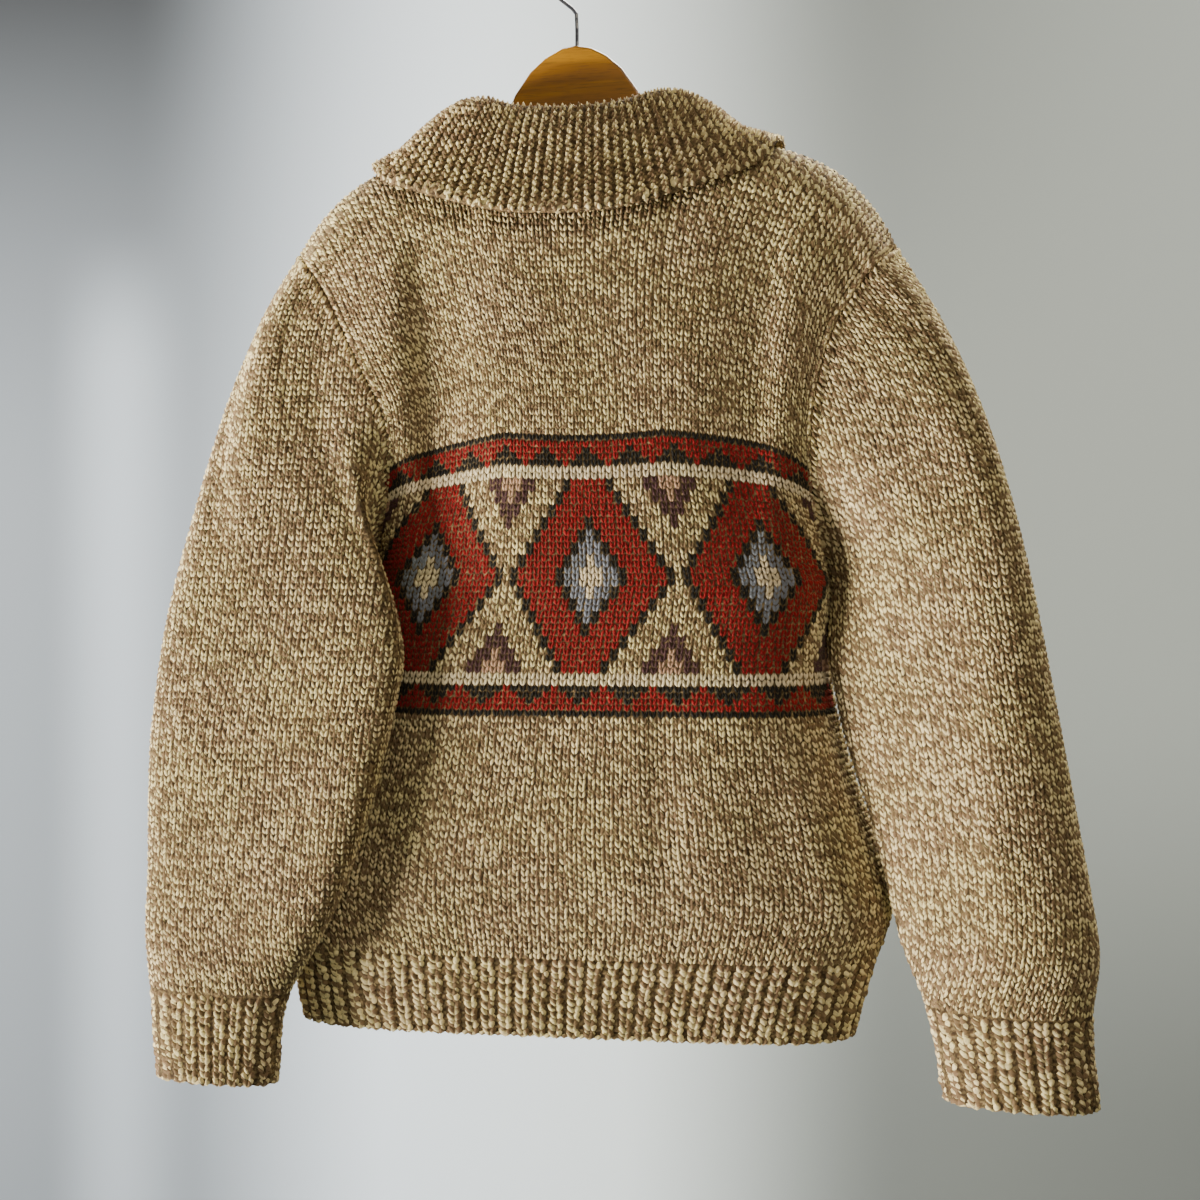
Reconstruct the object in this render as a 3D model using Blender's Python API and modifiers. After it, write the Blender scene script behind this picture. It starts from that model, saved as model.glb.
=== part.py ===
"""Cowichan cardigan hung on a wooden hanger: back, two fronts, two sleeves, a rolled shawl
collar, two button bands, six buttons, and the hanger with its wire hook.

Metres, +Z up. The wearer's back faces -Y and the buttoned front faces +Y, so the wearer's left
arm is at -X. The origin is the inside of the hook's bend, where it rests on a rail.
Every knitted piece is one wall of real thickness, built as rows of points from hem to top.
"""

import math
from collections import namedtuple

import bmesh
import bpy
import numpy as np
from mathutils import Matrix
from mathutils.bvhtree import BVHTree

BACK, FRONT = -1, 1

# ---------------------------------------------------------------- driving sizes
KNIT_WALL = 0.0042  # thickness of the bulky stocking-stitch fabric
COLLAR_WALL = 0.0060  # garter stitch is thicker
SEAM_GAP = 0.0004  # between sewn pieces
WELD_DISTANCE = 1e-5
SEAM_THINNING = 0.75  # the sleeve's wall where it is sewn to the armhole
HEM_Z = -0.826
RIB_TOP_Z = -0.768  # top of the ribbed hem
ARMPIT_Z = -0.492
NECK_Z = -0.155  # shoulder line where it meets the neck
NECK_DIP = 0.010  # how much lower the middle of the back neck is
NECK_HALF_WIDTH = 0.085
NECK_DEPTH = {-1: 0.040, 1: 0.030}  # how far the neck opening reaches behind and before the seam
SHOULDER_SLOPES = (0.36, 0.25)  # at the left and at the right
SHOULDER_ROUNDINGS = (0.034, 0.052)  # extra drop at the tips, over the hanger's ends
SHOULDER_POWERS = (4.5, 5.5)
SHOULDER_CREASE = 4  # how tightly the panels turn over the shoulder line
BULGE_POWER = 5.5  # how flat the panels are between their sides
BAND_HALF_WIDTH = 0.018
BAND_FREE_SHARE = 0.9  # how far the right band reaches under the left one
BAND_THINNING = 0.9  # the bands' cloth against the body's
V_LEVEL = 0.5  # share of the way from armpit to shoulder where the fronts part
RIB_HEIGHT = 0.0014
RIDGE_HEIGHT = 0.0013  # garter ridges of the collar
RIDGE_PITCH = 0.0070
BAND_LIFT = (KNIT_WALL * BAND_THINNING + SEAM_GAP) / 2  # of each band off the fronts' surface

BACK_COLUMNS = 30
FRONT_COLUMNS = 11
LOWER_ROWS = 7  # from the top of the rib to the armpit
ARMHOLE_ROWS = 12
SLEEVE_COLUMNS = 2 * ARMHOLE_ROWS
BACK_RIBS = 36
FRONT_RIBS = 16
CUFF_RIBS = 20
BAND_RIBS = 3
BAND_ROWS = 18
HEM_ROWS = 3  # ribbed rows at the bottom of body_levels
CUFF_ROWS = 3  # ribbed rows at the end of sleeve_grid

BodySection = namedtuple("BodySection", "z half_width back_depth front_depth sway")
BODY = (
    BodySection(-0.826, 0.210, 0.040, 0.038, -0.003),
    BodySection(-0.800, 0.216, 0.042, 0.041, -0.002),
    BodySection(-0.768, 0.222, 0.046, 0.046, 0.001),
    BodySection(-0.730, 0.232, 0.052, 0.052, 0.002),
    BodySection(-0.680, 0.219, 0.057, 0.055, 0.002),
    BodySection(-0.620, 0.196, 0.061, 0.058, 0.005),
    BodySection(-0.560, 0.179, 0.064, 0.060, 0.009),
    BodySection(-0.492, 0.172, 0.066, 0.061, 0.018),
)

# share: from the armpit, 0, to the shoulder tip, 1. The x values are where the armhole seams of
# the back lie, the depths how far each seam and the middle of the panel stand off the side plane.
ArmholeSection = namedtuple(
    "ArmholeSection", "share left_x right_x left_depth right_depth middle_depth"
)
ARMHOLE = (
    ArmholeSection(0.00, -0.154, 0.190, 0.000, 0.000, 0.066),
    ArmholeSection(0.13, -0.145, 0.183, 0.028, 0.022, 0.068),
    ArmholeSection(0.30, -0.135, 0.177, 0.050, 0.042, 0.070),
    ArmholeSection(0.47, -0.134, 0.177, 0.062, 0.053, 0.070),
    ArmholeSection(0.60, -0.150, 0.182, 0.061, 0.054, 0.069),
    ArmholeSection(0.72, -0.166, 0.191, 0.058, 0.054, 0.066),
    ArmholeSection(0.86, -0.186, 0.212, 0.054, 0.052, 0.061),
    ArmholeSection(0.95, -0.204, 0.229, 0.046, 0.046, 0.058),
    ArmholeSection(1.00, -0.218, 0.238, 0.000, 0.000, 0.056),
)
FRONT_FLATTER = 0.75  # depth of the fronts' armhole seams against the back's
FRONT_MIDDLE_LOSS = 0.005

# turn: of the ring about Z, in degrees. crest: how far its highest line is moved outward. slack: 1
# for the soft shape of SLEEVE_POWERS on the back, 0 for a plain rounded one.
SleeveSection = namedtuple(
    "SleeveSection", "z centre_x centre_y half_width back_depth front_depth turn crest slack"
)
SLEEVES = {
    "left": (
        SleeveSection(-0.560, -0.2120, -0.066, 0.0925, 0.016, 0.026, -3, 0.00, 1.0),
        SleeveSection(-0.610, -0.2205, -0.066, 0.0905, 0.016, 0.026, -4, 0.00, 1.0),
        SleeveSection(-0.660, -0.2290, -0.064, 0.0850, 0.016, 0.026, -5, 0.00, 1.0),
        SleeveSection(-0.710, -0.2385, -0.061, 0.0775, 0.016, 0.026, -6, 0.00, 1.0),
        SleeveSection(-0.755, -0.2510, -0.058, 0.0680, 0.016, 0.025, -6, 0.00, 0.8),
        SleeveSection(-0.798, -0.2630, -0.055, 0.0540, 0.016, 0.023, -5, 0.00, 0.0),
        SleeveSection(-0.863, -0.2650, -0.054, 0.0465, 0.016, 0.021, -5, 0.00, 0.0),
    ),
    "right": (
        SleeveSection(-0.560, 0.2675, -0.030, 0.0745, 0.045, 0.040, 0, 0.45, 1.0),
        SleeveSection(-0.610, 0.2775, -0.031, 0.0735, 0.045, 0.040, 0, 0.35, 1.0),
        SleeveSection(-0.660, 0.2900, -0.032, 0.0700, 0.043, 0.038, -1, 0.20, 1.0),
        SleeveSection(-0.710, 0.3005, -0.033, 0.0685, 0.040, 0.035, -3, 0.20, 0.8),
        SleeveSection(-0.755, 0.3090, -0.034, 0.0660, 0.035, 0.032, -5, 0.20, 0.5),
        SleeveSection(-0.796, 0.3150, -0.034, 0.0560, 0.028, 0.027, -6, 0.10, 0.0),
        SleeveSection(-0.861, 0.3240, -0.034, 0.0520, 0.022, 0.022, -6, 0.00, 0.0),
    ),
}
CUFF_TOP_Z = {"left": -0.798, "right": -0.796}
CUFF_END_Z = {"left": -0.863, "right": -0.861}
SLEEVE_TWIST = {"left": 56, "right": 0}  # how far the underarm seam is turned behind the sleeve
SLEEVE_POWERS = {"left": (0.50, 0.40), "right": (0.62, 1.60)}  # of the outer and inner quarters
PLAIN_POWER = 0.85  # of the rest of a ring

# The way the sleeve leaves the armhole seam. turn: 0 at the shoulder tip, 90 on the back, 180 at
# the armpit and 270 on the front. On the left the back's edge stands out and the cap runs on from
# it; on the right the seam lies at the bottom of a valley.
SleeveStart = namedtuple("SleeveStart", "turn outward backward downward")
SLEEVE_START = {
    "left": (
        SleeveStart(0, 0.48, 0.25, 0.84),
        SleeveStart(50, 0.78, 0.12, 0.60),
        SleeveStart(90, 0.88, 0.05, 0.48),
        SleeveStart(130, 0.74, 0.32, 0.45),
        SleeveStart(160, 0.88, 0.27, 0.35),
        SleeveStart(180, 0.90, 0.15, 0.45),
        SleeveStart(230, 0.95, -0.05, 0.35),
        SleeveStart(290, 0.90, -0.20, 0.45),
        SleeveStart(360, 0.48, 0.25, 0.84),
    ),
    "right": (
        SleeveStart(0, 0.55, 0.00, 0.83),
        SleeveStart(50, 0.72, 0.25, 0.66),
        SleeveStart(90, 0.85, 0.12, 0.48),
        SleeveStart(130, 0.86, 0.16, 0.42),
        SleeveStart(160, 0.89, 0.16, 0.35),
        SleeveStart(180, 0.90, 0.15, 0.40),
        SleeveStart(230, 0.95, -0.05, 0.25),
        SleeveStart(290, 0.85, -0.15, 0.55),
        SleeveStart(360, 0.55, 0.00, 0.83),
    ),
}
CAP_ROWS = 8  # rows of the sleeve from the armhole seam to the first level ring
SLEEVE_ROWS = 7  # rows from there to the cuff

# Soft folds of the cloth, each a trough that runs between two points of a panel.
Fold = namedtuple("Fold", "facing x_top z_top x_low z_low left_width right_width depth")
FOLDS = (
    Fold(BACK, -0.110, -0.235, -0.090, -0.530, 0.013, 0.045, 0.015),
    Fold(BACK, 0.150, -0.215, 0.128, -0.500, 0.034, 0.013, 0.007),
    Fold(BACK, -0.110, -0.480, -0.168, -0.760, 0.050, 0.022, 0.014),
    Fold(BACK, 0.135, -0.600, 0.180, -0.760, 0.034, 0.020, 0.004),
    Fold(BACK, 0.066, -0.560, 0.070, -0.740, 0.008, 0.022, 0.002),
    Fold(FRONT, -0.105, -0.330, -0.120, -0.560, 0.020, 0.020, 0.010),
    Fold(FRONT, 0.118, -0.310, 0.112, -0.600, 0.020, 0.020, 0.010),
    Fold(FRONT, -0.090, -0.560, -0.140, -0.780, 0.026, 0.026, 0.007),
)

# The collar's free edge and roll from the middle of the back, round one side, to the break of
# the lapel. share: along the neck seam. stand: how high the roll rises off the seam.
CollarStation = namedtuple("CollarStation", "share edge_x edge_y edge_z stand lean_x lean_y lean_z")
COLLAR = (
    CollarStation(0.00, 0.000, -0.0790, -0.2300, 0.034, 0.00, 0.05, 1.00),
    CollarStation(0.12, 0.050, -0.0770, -0.2255, 0.036, -0.05, 0.05, 1.00),
    CollarStation(0.21, 0.100, -0.0670, -0.2100, 0.042, -0.10, 0.05, 1.00),
    CollarStation(0.29, 0.141, -0.0440, -0.1915, 0.034, -0.05, 0.00, 1.00),
    CollarStation(0.35, 0.153, 0.0040, -0.1775, 0.023, 0.00, 0.05, 1.00),
    CollarStation(0.43, 0.146, 0.0420, -0.1980, 0.026, -0.10, 0.40, 0.90),
    CollarStation(0.58, 0.120, 0.0620, -0.2430, 0.030, -0.20, 0.80, 0.50),
    CollarStation(0.78, 0.080, 0.0740, -0.2920, 0.026, -0.20, 0.90, 0.20),
    CollarStation(1.00, 0.036, 0.0760, -0.3320, 0.012, 0.00, 1.00, 0.00),
)
COLLAR_STAND_ROWS = 2
COLLAR_FALL_ROWS = 5
COLLAR_FALL_FROM = 0.30  # share of the collar's width where the garter ridges begin to show
COLLAR_LIFT = 0.0030  # of its first row off the neck seam
COLLAR_CLEARANCE = 0.0042  # between its fall and the body

BUTTON_COUNT = 6
BUTTON_TOP_Z = -0.352
BUTTON_SPACING = 0.086
BUTTON_RADIUS = 0.0115
BUTTON_THICK = 0.0042
BUTTON_RIM = 0.0022  # width of the raised rim
BUTTON_DISH = 0.0010
BUTTON_HOLE_RADIUS = 0.0011
BUTTON_HOLE_OFFSET = 0.0026
BUTTON_EDGE = 0.0008  # how far the rim slopes down on both sides
BUTTON_UNDERCUT = 0.0012  # how much smaller its back face is
BUTTON_CLEARANCE = 0.0002
BUTTON_STEPS = 14
BUTTON_HOLE_SIDES = 5

HANGER_THICK = 0.013
HANGER_TOP_Z = -0.085
HANGER_HALF_LENGTH = 0.188
HANGER_ARM_HEIGHT = 0.026
HANGER_CLEARANCE = 0.0015  # under the cloth in the middle, and twice that at the ends
HANGER_HUMP_SPREAD = 15.0  # how fast the hump falls away, in 1/m
HANGER_HUMP_ENDS = (0.042, 0.080)  # over these x values it runs into the arms
HANGER_BELLY = 0.0175  # extra depth of the wood under the hump
HANGER_BELLY_WIDTH = 0.040
HANGER_LOW_ARCH = 0.006  # how much the lower edge bows down between the arms' ends
HANGER_EDGE = 0.0050  # radius of its rounded edges
HANGER_POINTS = 33  # along each edge of the outline
WIRE_RADIUS = 0.0014
HOOK_RADIUS = 0.024  # to the wire's centreline
HOOK_SOCKET = 0.022  # how deep the wire goes into the wood
HOOK_SHANK = ((0.0, 0.0140), (-0.0005, 0.0260), (-0.0035, 0.0300), (-0.0150, 0.0395))
HOOK_ARC = (205, -35, 18)  # from, to, in degrees, and its steps
SHARP_ANGLE = math.radians(50)


# ---------------------------------------------------------------- curves and tables
def read(rows, key, column, at):
    """A smooth value of one column of a table, with no overshoot of the slope at its ends."""
    xs = np.array([getattr(row, key) for row in rows], float)
    ys = np.array([getattr(row, column) for row in rows], float)
    slopes = np.gradient(ys, xs)
    at = np.clip(np.asarray(at, float), xs.min(), xs.max())
    i = np.clip(np.searchsorted(xs, at, side="right") - 1, 0, len(xs) - 2)
    span = xs[i + 1] - xs[i]
    t = (at - xs[i]) / span
    return (
        (2 * t**3 - 3 * t**2 + 1) * ys[i]
        + (t**3 - 2 * t**2 + t) * span * slopes[i]
        + (3 * t**2 - 2 * t**3) * ys[i + 1]
        + (t**3 - t**2) * span * slopes[i + 1]
    )


def unit(vectors):
    return vectors / np.maximum(np.linalg.norm(vectors, axis=-1, keepdims=True), 1e-12)


def mitre(normals, others):
    """The offset that keeps both walls thick where two surfaces meet at an angle."""
    joined = normals + others
    joined = joined / np.maximum(1 + (normals * others).sum(-1, keepdims=True), 0.25)
    length = np.linalg.norm(joined, axis=-1, keepdims=True)
    return joined * np.minimum(1, 1.5 / np.maximum(length, 1e-9))


def bulge(across, flatness=0.0):
    """Height of a rounded panel at a share of its half width: 1 in the middle, 0 at the edge.
    Flatness 0 turns square to the edge, as a tube does, and 1 reaches it at a slope."""
    return np.maximum(1 - np.abs(across) ** BULGE_POWER, 0) ** (0.5 + 0.5 * flatness)


def share_points(points, count):
    """The same polyline with count + 1 points at even steps of its index."""
    steps = np.linspace(0, len(points) - 1, count + 1)
    return np.stack([np.interp(steps, np.arange(len(points)), c) for c in points.T], axis=1)


# ---------------------------------------------------------------- the body's surface
def shoulder_z(x):
    x = np.asarray(x, float)
    out = np.maximum(np.abs(x) - NECK_HALF_WIDTH, 0)
    reach = np.where(x < 0, -ARMHOLE[-1].left_x, ARMHOLE[-1].right_x) - NECK_HALF_WIDTH
    dip = NECK_DIP * np.maximum(1 - (x / NECK_HALF_WIDTH) ** 2, 0)
    slope = np.where(x < 0, *SHOULDER_SLOPES)
    drop = np.where(x < 0, *SHOULDER_ROUNDINGS) * (out / reach) ** np.where(x < 0, *SHOULDER_POWERS)
    return NECK_Z - dip - slope * out - drop


def fold_depth(facing, x, z):
    """How far the troughs of FOLDS push the cloth in at a point of a panel."""
    total = np.zeros_like(x)
    for fold in FOLDS:
        if fold.facing != facing:
            continue
        down = np.clip((fold.z_top - z) / (fold.z_top - fold.z_low), 0, 1)
        middle = fold.x_top + (fold.x_low - fold.x_top) * down
        width = np.where(x < middle, fold.left_width, fold.right_width)
        spread = np.exp(-(((x - middle) / width) ** 2))
        total += fold.depth * np.sin(math.pi * down) ** 0.7 * spread
    return total


def body_point(facing, across, level):
    """Middle of the wall. across: -1 to 1 between the sides. level: -1 at the hem, 0 at the
    armpit and 1 on the shoulder line."""
    across = np.asarray(across, float)
    if level <= 0:
        z = np.full_like(across, ARMPIT_Z + level * (ARMPIT_Z - HEM_Z))
        half = read(BODY, "z", "half_width", z)
        depth = read(BODY, "z", "back_depth" if facing == BACK else "front_depth", z)
        x = half * across + read(BODY, "z", "sway", z)
        y = depth * bulge(across)
    else:
        tip = ARMHOLE[-1]
        top_x = (tip.left_x + tip.right_x) / 2 * across**2 + (tip.right_x - tip.left_x) / 2 * across
        z = ARMPIT_Z + (shoulder_z(top_x) - ARMPIT_Z) * level
        edge_x = [read(ARMHOLE, "share", c, level) for c in ("left_x", "right_x")]
        edge_y = [read(ARMHOLE, "share", c, level) for c in ("left_depth", "right_depth")]
        middle = read(ARMHOLE, "share", "middle_depth", level)
        if facing == FRONT:
            edge_y = [FRONT_FLATTER * edge_y[1]] * 2
            middle = middle - FRONT_MIDDLE_LOSS
        shift = (edge_x[0] + edge_x[1]) / 2
        x = (edge_x[1] - edge_x[0]) / 2 * across + shift * (1 - level * (1 - across**2))
        edge = (edge_y[0] * (1 - across) + edge_y[1] * (1 + across)) / 2
        chest = edge + (middle - edge) * bulge(across, min(1.0, level / 0.2))
        neck = NECK_DEPTH[facing] * np.sqrt(
            np.maximum(1 - (top_x / NECK_HALF_WIDTH) ** 2, 0)
        )
        rounding = 1 - (1 - level**SHOULDER_CREASE) ** (1 / SHOULDER_CREASE)
        y = (1 - rounding) * chest + rounding * neck
    y = y - fold_depth(facing, x, z) * bulge(across) * min(1, 8 * (1 - level))
    return np.stack([x, facing * y, z], axis=-1)


def even_row(facing, level, start, end, count):
    """A row of the body with its points at even steps of cloth between two shares of width."""
    angle = np.linspace(math.asin(start), math.asin(end), 240)
    dense = body_point(facing, np.sin(angle), level)
    run = np.r_[0, np.cumsum(np.linalg.norm(np.diff(dense, axis=0), axis=1))]
    return body_point(
        facing, np.sin(np.interp(np.linspace(0, run[-1], count + 1), run, angle)), level
    )


def front_edge_x(level):
    """How far from the middle a front ends: beside the button band, or on the neck's slope."""
    climb = max(0.0, (level - V_LEVEL) / (1 - V_LEVEL))
    return BAND_HALF_WIDTH + (NECK_HALF_WIDTH - BAND_HALF_WIDTH) * climb


def across_at(facing, x, level):
    """The share of a panel's half width that lies at x."""
    shares = np.linspace(-1, 1, 401)
    return float(np.interp(x, body_point(facing, shares, level)[:, 0], shares))


def body_levels():
    rib = (ARMPIT_Z - RIB_TOP_Z) / (ARMPIT_Z - HEM_Z)
    hem = [-1.0, -(1 + rib) / 2 - 0.02, -rib - 0.012, -rib]
    lower = list(np.linspace(-rib, 0, LOWER_ROWS + 1)[1:])
    steps = np.linspace(0, 1, ARMHOLE_ROWS + 1)[1:]
    upper = 1 - (1 - steps**1.15) ** 1.7
    upper[np.argmin(np.abs(upper - V_LEVEL))] = V_LEVEL
    return hem + lower + list(upper)


def back_grid():
    return np.array([even_row(BACK, v, -1, 1, BACK_COLUMNS) for v in body_levels()])


def front_grid(side):
    """Rows of one front, from its side seam to the band. side: -1 left, 1 right."""
    rows = []
    for level in body_levels():
        end = across_at(FRONT, side * front_edge_x(level), level)
        rows.append(even_row(FRONT, level, side * 1.0, end, FRONT_COLUMNS))
    return np.array(rows)


# ---------------------------------------------------------------- the sleeves' surface
def sleeve_ring(side, z, angles):
    """A level ring of a sleeve. Angle 0 is its outer edge and 90 degrees faces the back."""
    rows = SLEEVES[side][::-1]
    value = {c: float(read(rows, "z", c, z)) for c in SleeveSection._fields[1:]}
    outward = -1 if side == "left" else 1
    turn = math.radians(value["turn"])
    cosine, sine = np.cos(angles), np.sin(angles)
    own = np.where(cosine > 0, *SLEEVE_POWERS[side])
    power = PLAIN_POWER + (own - PLAIN_POWER) * np.where(sine > 0, value["slack"], 0.0)
    high = np.sign(sine) * np.abs(sine) ** power
    shift = value["crest"] * np.maximum(high, 0)
    wide = np.sign(cosine) * np.abs(cosine) ** power
    wide = (wide * np.where(cosine > 0, 1 - shift, 1) + shift) * value["half_width"]
    deep = high * np.where(sine > 0, value["back_depth"], value["front_depth"])
    x = value["centre_x"] + outward * wide * math.cos(turn) + deep * math.sin(turn)
    y = value["centre_y"] + outward * wide * math.sin(turn) - deep * math.cos(turn)
    return np.stack([x, y, np.full_like(x, z)], axis=-1)


def armhole_loop(side, back, front):
    """The armhole seam, from the shoulder tip down the back to the armpit and up the front."""
    first = len(back) - 1 - ARMHOLE_ROWS
    column = 0 if side == "left" else -1
    down = back[first:, column][::-1]
    up = front[first + 1 : -1, 0]
    return np.concatenate([down, up])


def sleeve_grid(side, back, front):
    """Rows of a sleeve from the armhole seam to the cuff's end, each a closed ring."""
    outward = -1 if side == "left" else 1
    loop = armhole_loop(side, back, front)
    turns = np.linspace(0, 2 * math.pi, SLEEVE_COLUMNS, endpoint=False)
    angles = turns + math.radians(SLEEVE_TWIST[side])
    first_z = SLEEVES[side][0].z
    level = sleeve_ring(side, first_z, angles)
    below = sleeve_ring(side, first_z - 0.02, angles)
    reach = np.linalg.norm(level - loop, axis=1, keepdims=True)
    way = {
        c: read(SLEEVE_START[side], "turn", c, np.degrees(turns)) for c in SleeveStart._fields[1:]
    }
    leave = np.stack([outward * way["outward"], -way["backward"], -way["downward"]], axis=1)
    leave = unit(leave) * reach
    arrive = unit(below - level) * reach
    rows = []
    for t in np.linspace(0, 1, CAP_ROWS + 1):
        rows.append(
            (2 * t**3 - 3 * t**2 + 1) * loop
            + (t**3 - 2 * t**2 + t) * leave
            + (3 * t**2 - 2 * t**3) * level
            + (t**3 - t**2) * arrive
        )
    cuff_top, cuff_end = CUFF_TOP_Z[side], CUFF_END_Z[side]
    zs = list(np.linspace(first_z, cuff_top, SLEEVE_ROWS + 1)[1:])
    zs += [cuff_top - 0.005, (cuff_top + cuff_end) / 2, cuff_end]
    rows += [sleeve_ring(side, z, angles) for z in zs]
    return np.array(rows)


# ---------------------------------------------------------------- walls from rows
def grid_normals(grid, outward, closed=False):
    """Unit normals of a grid of points. outward turns them to the side that is seen."""
    down = np.gradient(grid, axis=0)
    if closed:
        along = np.roll(grid, -1, axis=1) - np.roll(grid, 1, axis=1)
    else:
        along = np.gradient(grid, axis=1)
    return unit(np.cross(along, down)) * outward


def strip(bm, row_a, row_b, closed=False):
    """Faces between two rows of vertices, whose counts may differ."""
    a = list(row_a) + ([row_a[0]] if closed else [])
    b = list(row_b) + ([row_b[0]] if closed else [])
    if len(a) == len(b):
        for i in range(len(a) - 1):
            bm.faces.new((a[i], a[i + 1], b[i + 1], b[i]))
        return
    i = j = 0
    while i < len(a) - 1 or j < len(b) - 1:
        if j == len(b) - 1:
            step_a = True
        elif i == len(a) - 1:
            step_a = False
        else:
            step_a = (a[i + 1].co - b[j].co).length <= (a[i].co - b[j + 1].co).length
        if step_a:
            bm.faces.new((a[i], a[i + 1], b[j]))
            i += 1
        else:
            bm.faces.new((a[i], b[j + 1], b[j]))
            j += 1


def wall_object(name, outer_rows, inner_rows, material, closed=False):
    """A closed wall between two stacks of rows, joined along every free edge."""
    bm = bmesh.new()
    faces = [[[bm.verts.new(p) for p in row] for row in rows] for rows in (outer_rows, inner_rows)]
    for rows in faces:
        for a, b in zip(rows, rows[1:]):
            strip(bm, a, b, closed)
    outer, inner = faces
    strip(bm, outer[0], inner[0], closed)
    strip(bm, outer[-1], inner[-1], closed)
    if not closed:
        for end in (0, -1):
            strip(bm, [row[end] for row in outer], [row[end] for row in inner])
    bmesh.ops.recalc_face_normals(bm, faces=bm.faces)
    return mesh_object(name, bm, material)


def mesh_object(name, bm, material):
    mesh = bpy.data.meshes.new(name)
    bm.to_mesh(mesh)
    bm.free()
    mesh.shade_smooth()
    mesh.set_sharp_from_angle(angle=SHARP_ANGLE)
    made = bpy.data.objects.new(name, mesh)
    made.data.materials.append(material)
    GARMENT.objects.link(made)
    return made


def ribbed(points, normals, ribs, height, wall=KNIT_WALL, closed=False):
    """The outer points of a ribbed row: each rib is a crest between two valleys."""
    if closed:
        points = np.concatenate([points, points[:1]])
        normals = np.concatenate([normals, normals[:1]])
    fine, fine_normals = share_points(points, 2 * ribs), unit(share_points(normals, 2 * ribs))
    crest = np.arange(len(fine)) % 2
    row = fine + fine_normals * (wall / 2 + height * crest)[:, None]
    return row[:-1] if closed else row


def pull_in(grid, edges):
    """Moves the free edges of a grid in by half the seam gap, so that pieces stay apart."""
    grid = grid.copy()
    half = SEAM_GAP / 2
    if "first" in edges:
        grid[0] += unit(grid[1] - grid[0]) * 3 * half
    if "start" in edges:
        grid[:, 0] += unit(grid[:, 1] - grid[:, 0]) * half
    if "end" in edges:
        grid[:, -1] += unit(grid[:, -2] - grid[:, -1]) * half
    if "top" in edges:
        grid[-1] += unit(grid[-2] - grid[-1]) * half
    return grid


def knitted_body_panel(name, grid, normals, ribs, facing, material):
    outer = [
        ribbed(p, n, ribs, RIB_HEIGHT) if i < HEM_ROWS else p + n * KNIT_WALL / 2
        for i, (p, n) in enumerate(zip(grid, normals))
    ]
    inner = [p - n * KNIT_WALL / 2 for p, n in zip(grid, normals)]
    for row in outer + inner:
        row[:, 1] = facing * np.maximum(facing * row[:, 1], SEAM_GAP / 2)
    return wall_object(name, outer, inner[:1] + inner[HEM_ROWS:], material)


def knitted_sleeve(name, grid, normals, material):
    outer, inner = [], []
    cuff_from = len(grid) - CUFF_ROWS
    for i, (p, n) in enumerate(zip(grid, normals)):
        if i >= cuff_from:
            outer.append(ribbed(p, n, CUFF_RIBS, RIB_HEIGHT, closed=True))
        else:
            outer.append(p + n * KNIT_WALL / 2)
        inner.append(p - n * KNIT_WALL / 2)
    kept = inner[:cuff_from] + inner[-1:]
    return wall_object(name, outer, kept, material, closed=True)


def body_panels():
    """The middle surfaces of the back and the fronts, each with its outward normals."""
    back, left, right = back_grid(), front_grid(-1), front_grid(1)
    return [
        (back, grid_normals(back, 1)),
        (left, grid_normals(left, -1)),
        (right, grid_normals(right, 1)),
    ]


def make_body_and_sleeves(wool):
    """Back, fronts and sleeves. Pieces that meet share their normals along the seam."""
    (back, back_n), (left, left_n), (right, right_n) = body_panels()
    fronts = {"left": left, "right": right}
    front_n = {"left": left_n, "right": right_n}
    sleeves = {s: sleeve_grid(s, back, fronts[s]) for s in fronts}
    sleeve_n = {
        "left": grid_normals(sleeves["left"], -1, closed=True),
        "right": grid_normals(sleeves["right"], 1, closed=True),
    }
    pit = len(back) - 1 - ARMHOLE_ROWS
    for side, column in (("left", 0), ("right", -1)):
        seam = mitre(back_n[:, column], front_n[side][:, 0])
        loop = sleeve_n[side][0]
        down, up = loop[: ARMHOLE_ROWS + 1][::-1], np.r_[loop[ARMHOLE_ROWS:], loop[:1]]
        back_n[:pit, column] = front_n[side][:pit, 0] = seam[:pit]
        back_seam = mitre(back_n[pit:, column], down)
        front_seam = mitre(front_n[side][pit:, 0], up)
        back_seam[0] = front_seam[0] = mitre(unit(seam[pit]), loop[ARMHOLE_ROWS])
        back_seam[-1] = front_seam[-1] = unit((unit(seam[-1]) + loop[0]) * [1, 0, 1])
        back_n[pit:, column] = back_seam
        front_n[side][pit:, 0] = front_seam
        sleeve_n[side][0] = SEAM_THINNING * np.r_[back_seam[::-1], front_seam[1:-1]]
    for normals in (back_n, front_n["left"], front_n["right"]):
        normals[-1] = unit(normals[-1] * [1, 0, 1])
    parts = [
        knitted_body_panel(
            "back", pull_in(back, ("start", "end", "top")), back_n, BACK_RIBS, BACK, wool
        )
    ]
    for side in ("left", "right"):
        grid = pull_in(fronts[side], ("start", "end", "top"))
        parts.append(
            knitted_body_panel(f"front_{side}", grid, front_n[side], FRONT_RIBS, FRONT, wool)
        )
        grid = pull_in(sleeves[side], ("first",))
        parts.append(knitted_sleeve(f"sleeve_{side}", grid, sleeve_n[side], wool))
    return parts


# ---------------------------------------------------------------- collar
def neck_seam():
    """Points and normals of the right half of the neck edge, from mid back to the V."""
    xs = np.linspace(0, NECK_HALF_WIDTH, 9)
    back = [body_point(BACK, across_at(BACK, x, 1.0), 1.0) for x in xs]
    levels = np.linspace(1.0, V_LEVEL, 13)[1:]
    front = [body_point(FRONT, across_at(FRONT, front_edge_x(v), v), v) for v in levels]
    points = np.array(back + front)
    rise = np.array([[0.0, -0.15, 1.0]] * len(back) + [[0.0, 1.0 - v, v - 0.45] for v in levels])
    return points, unit(rise)


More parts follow.
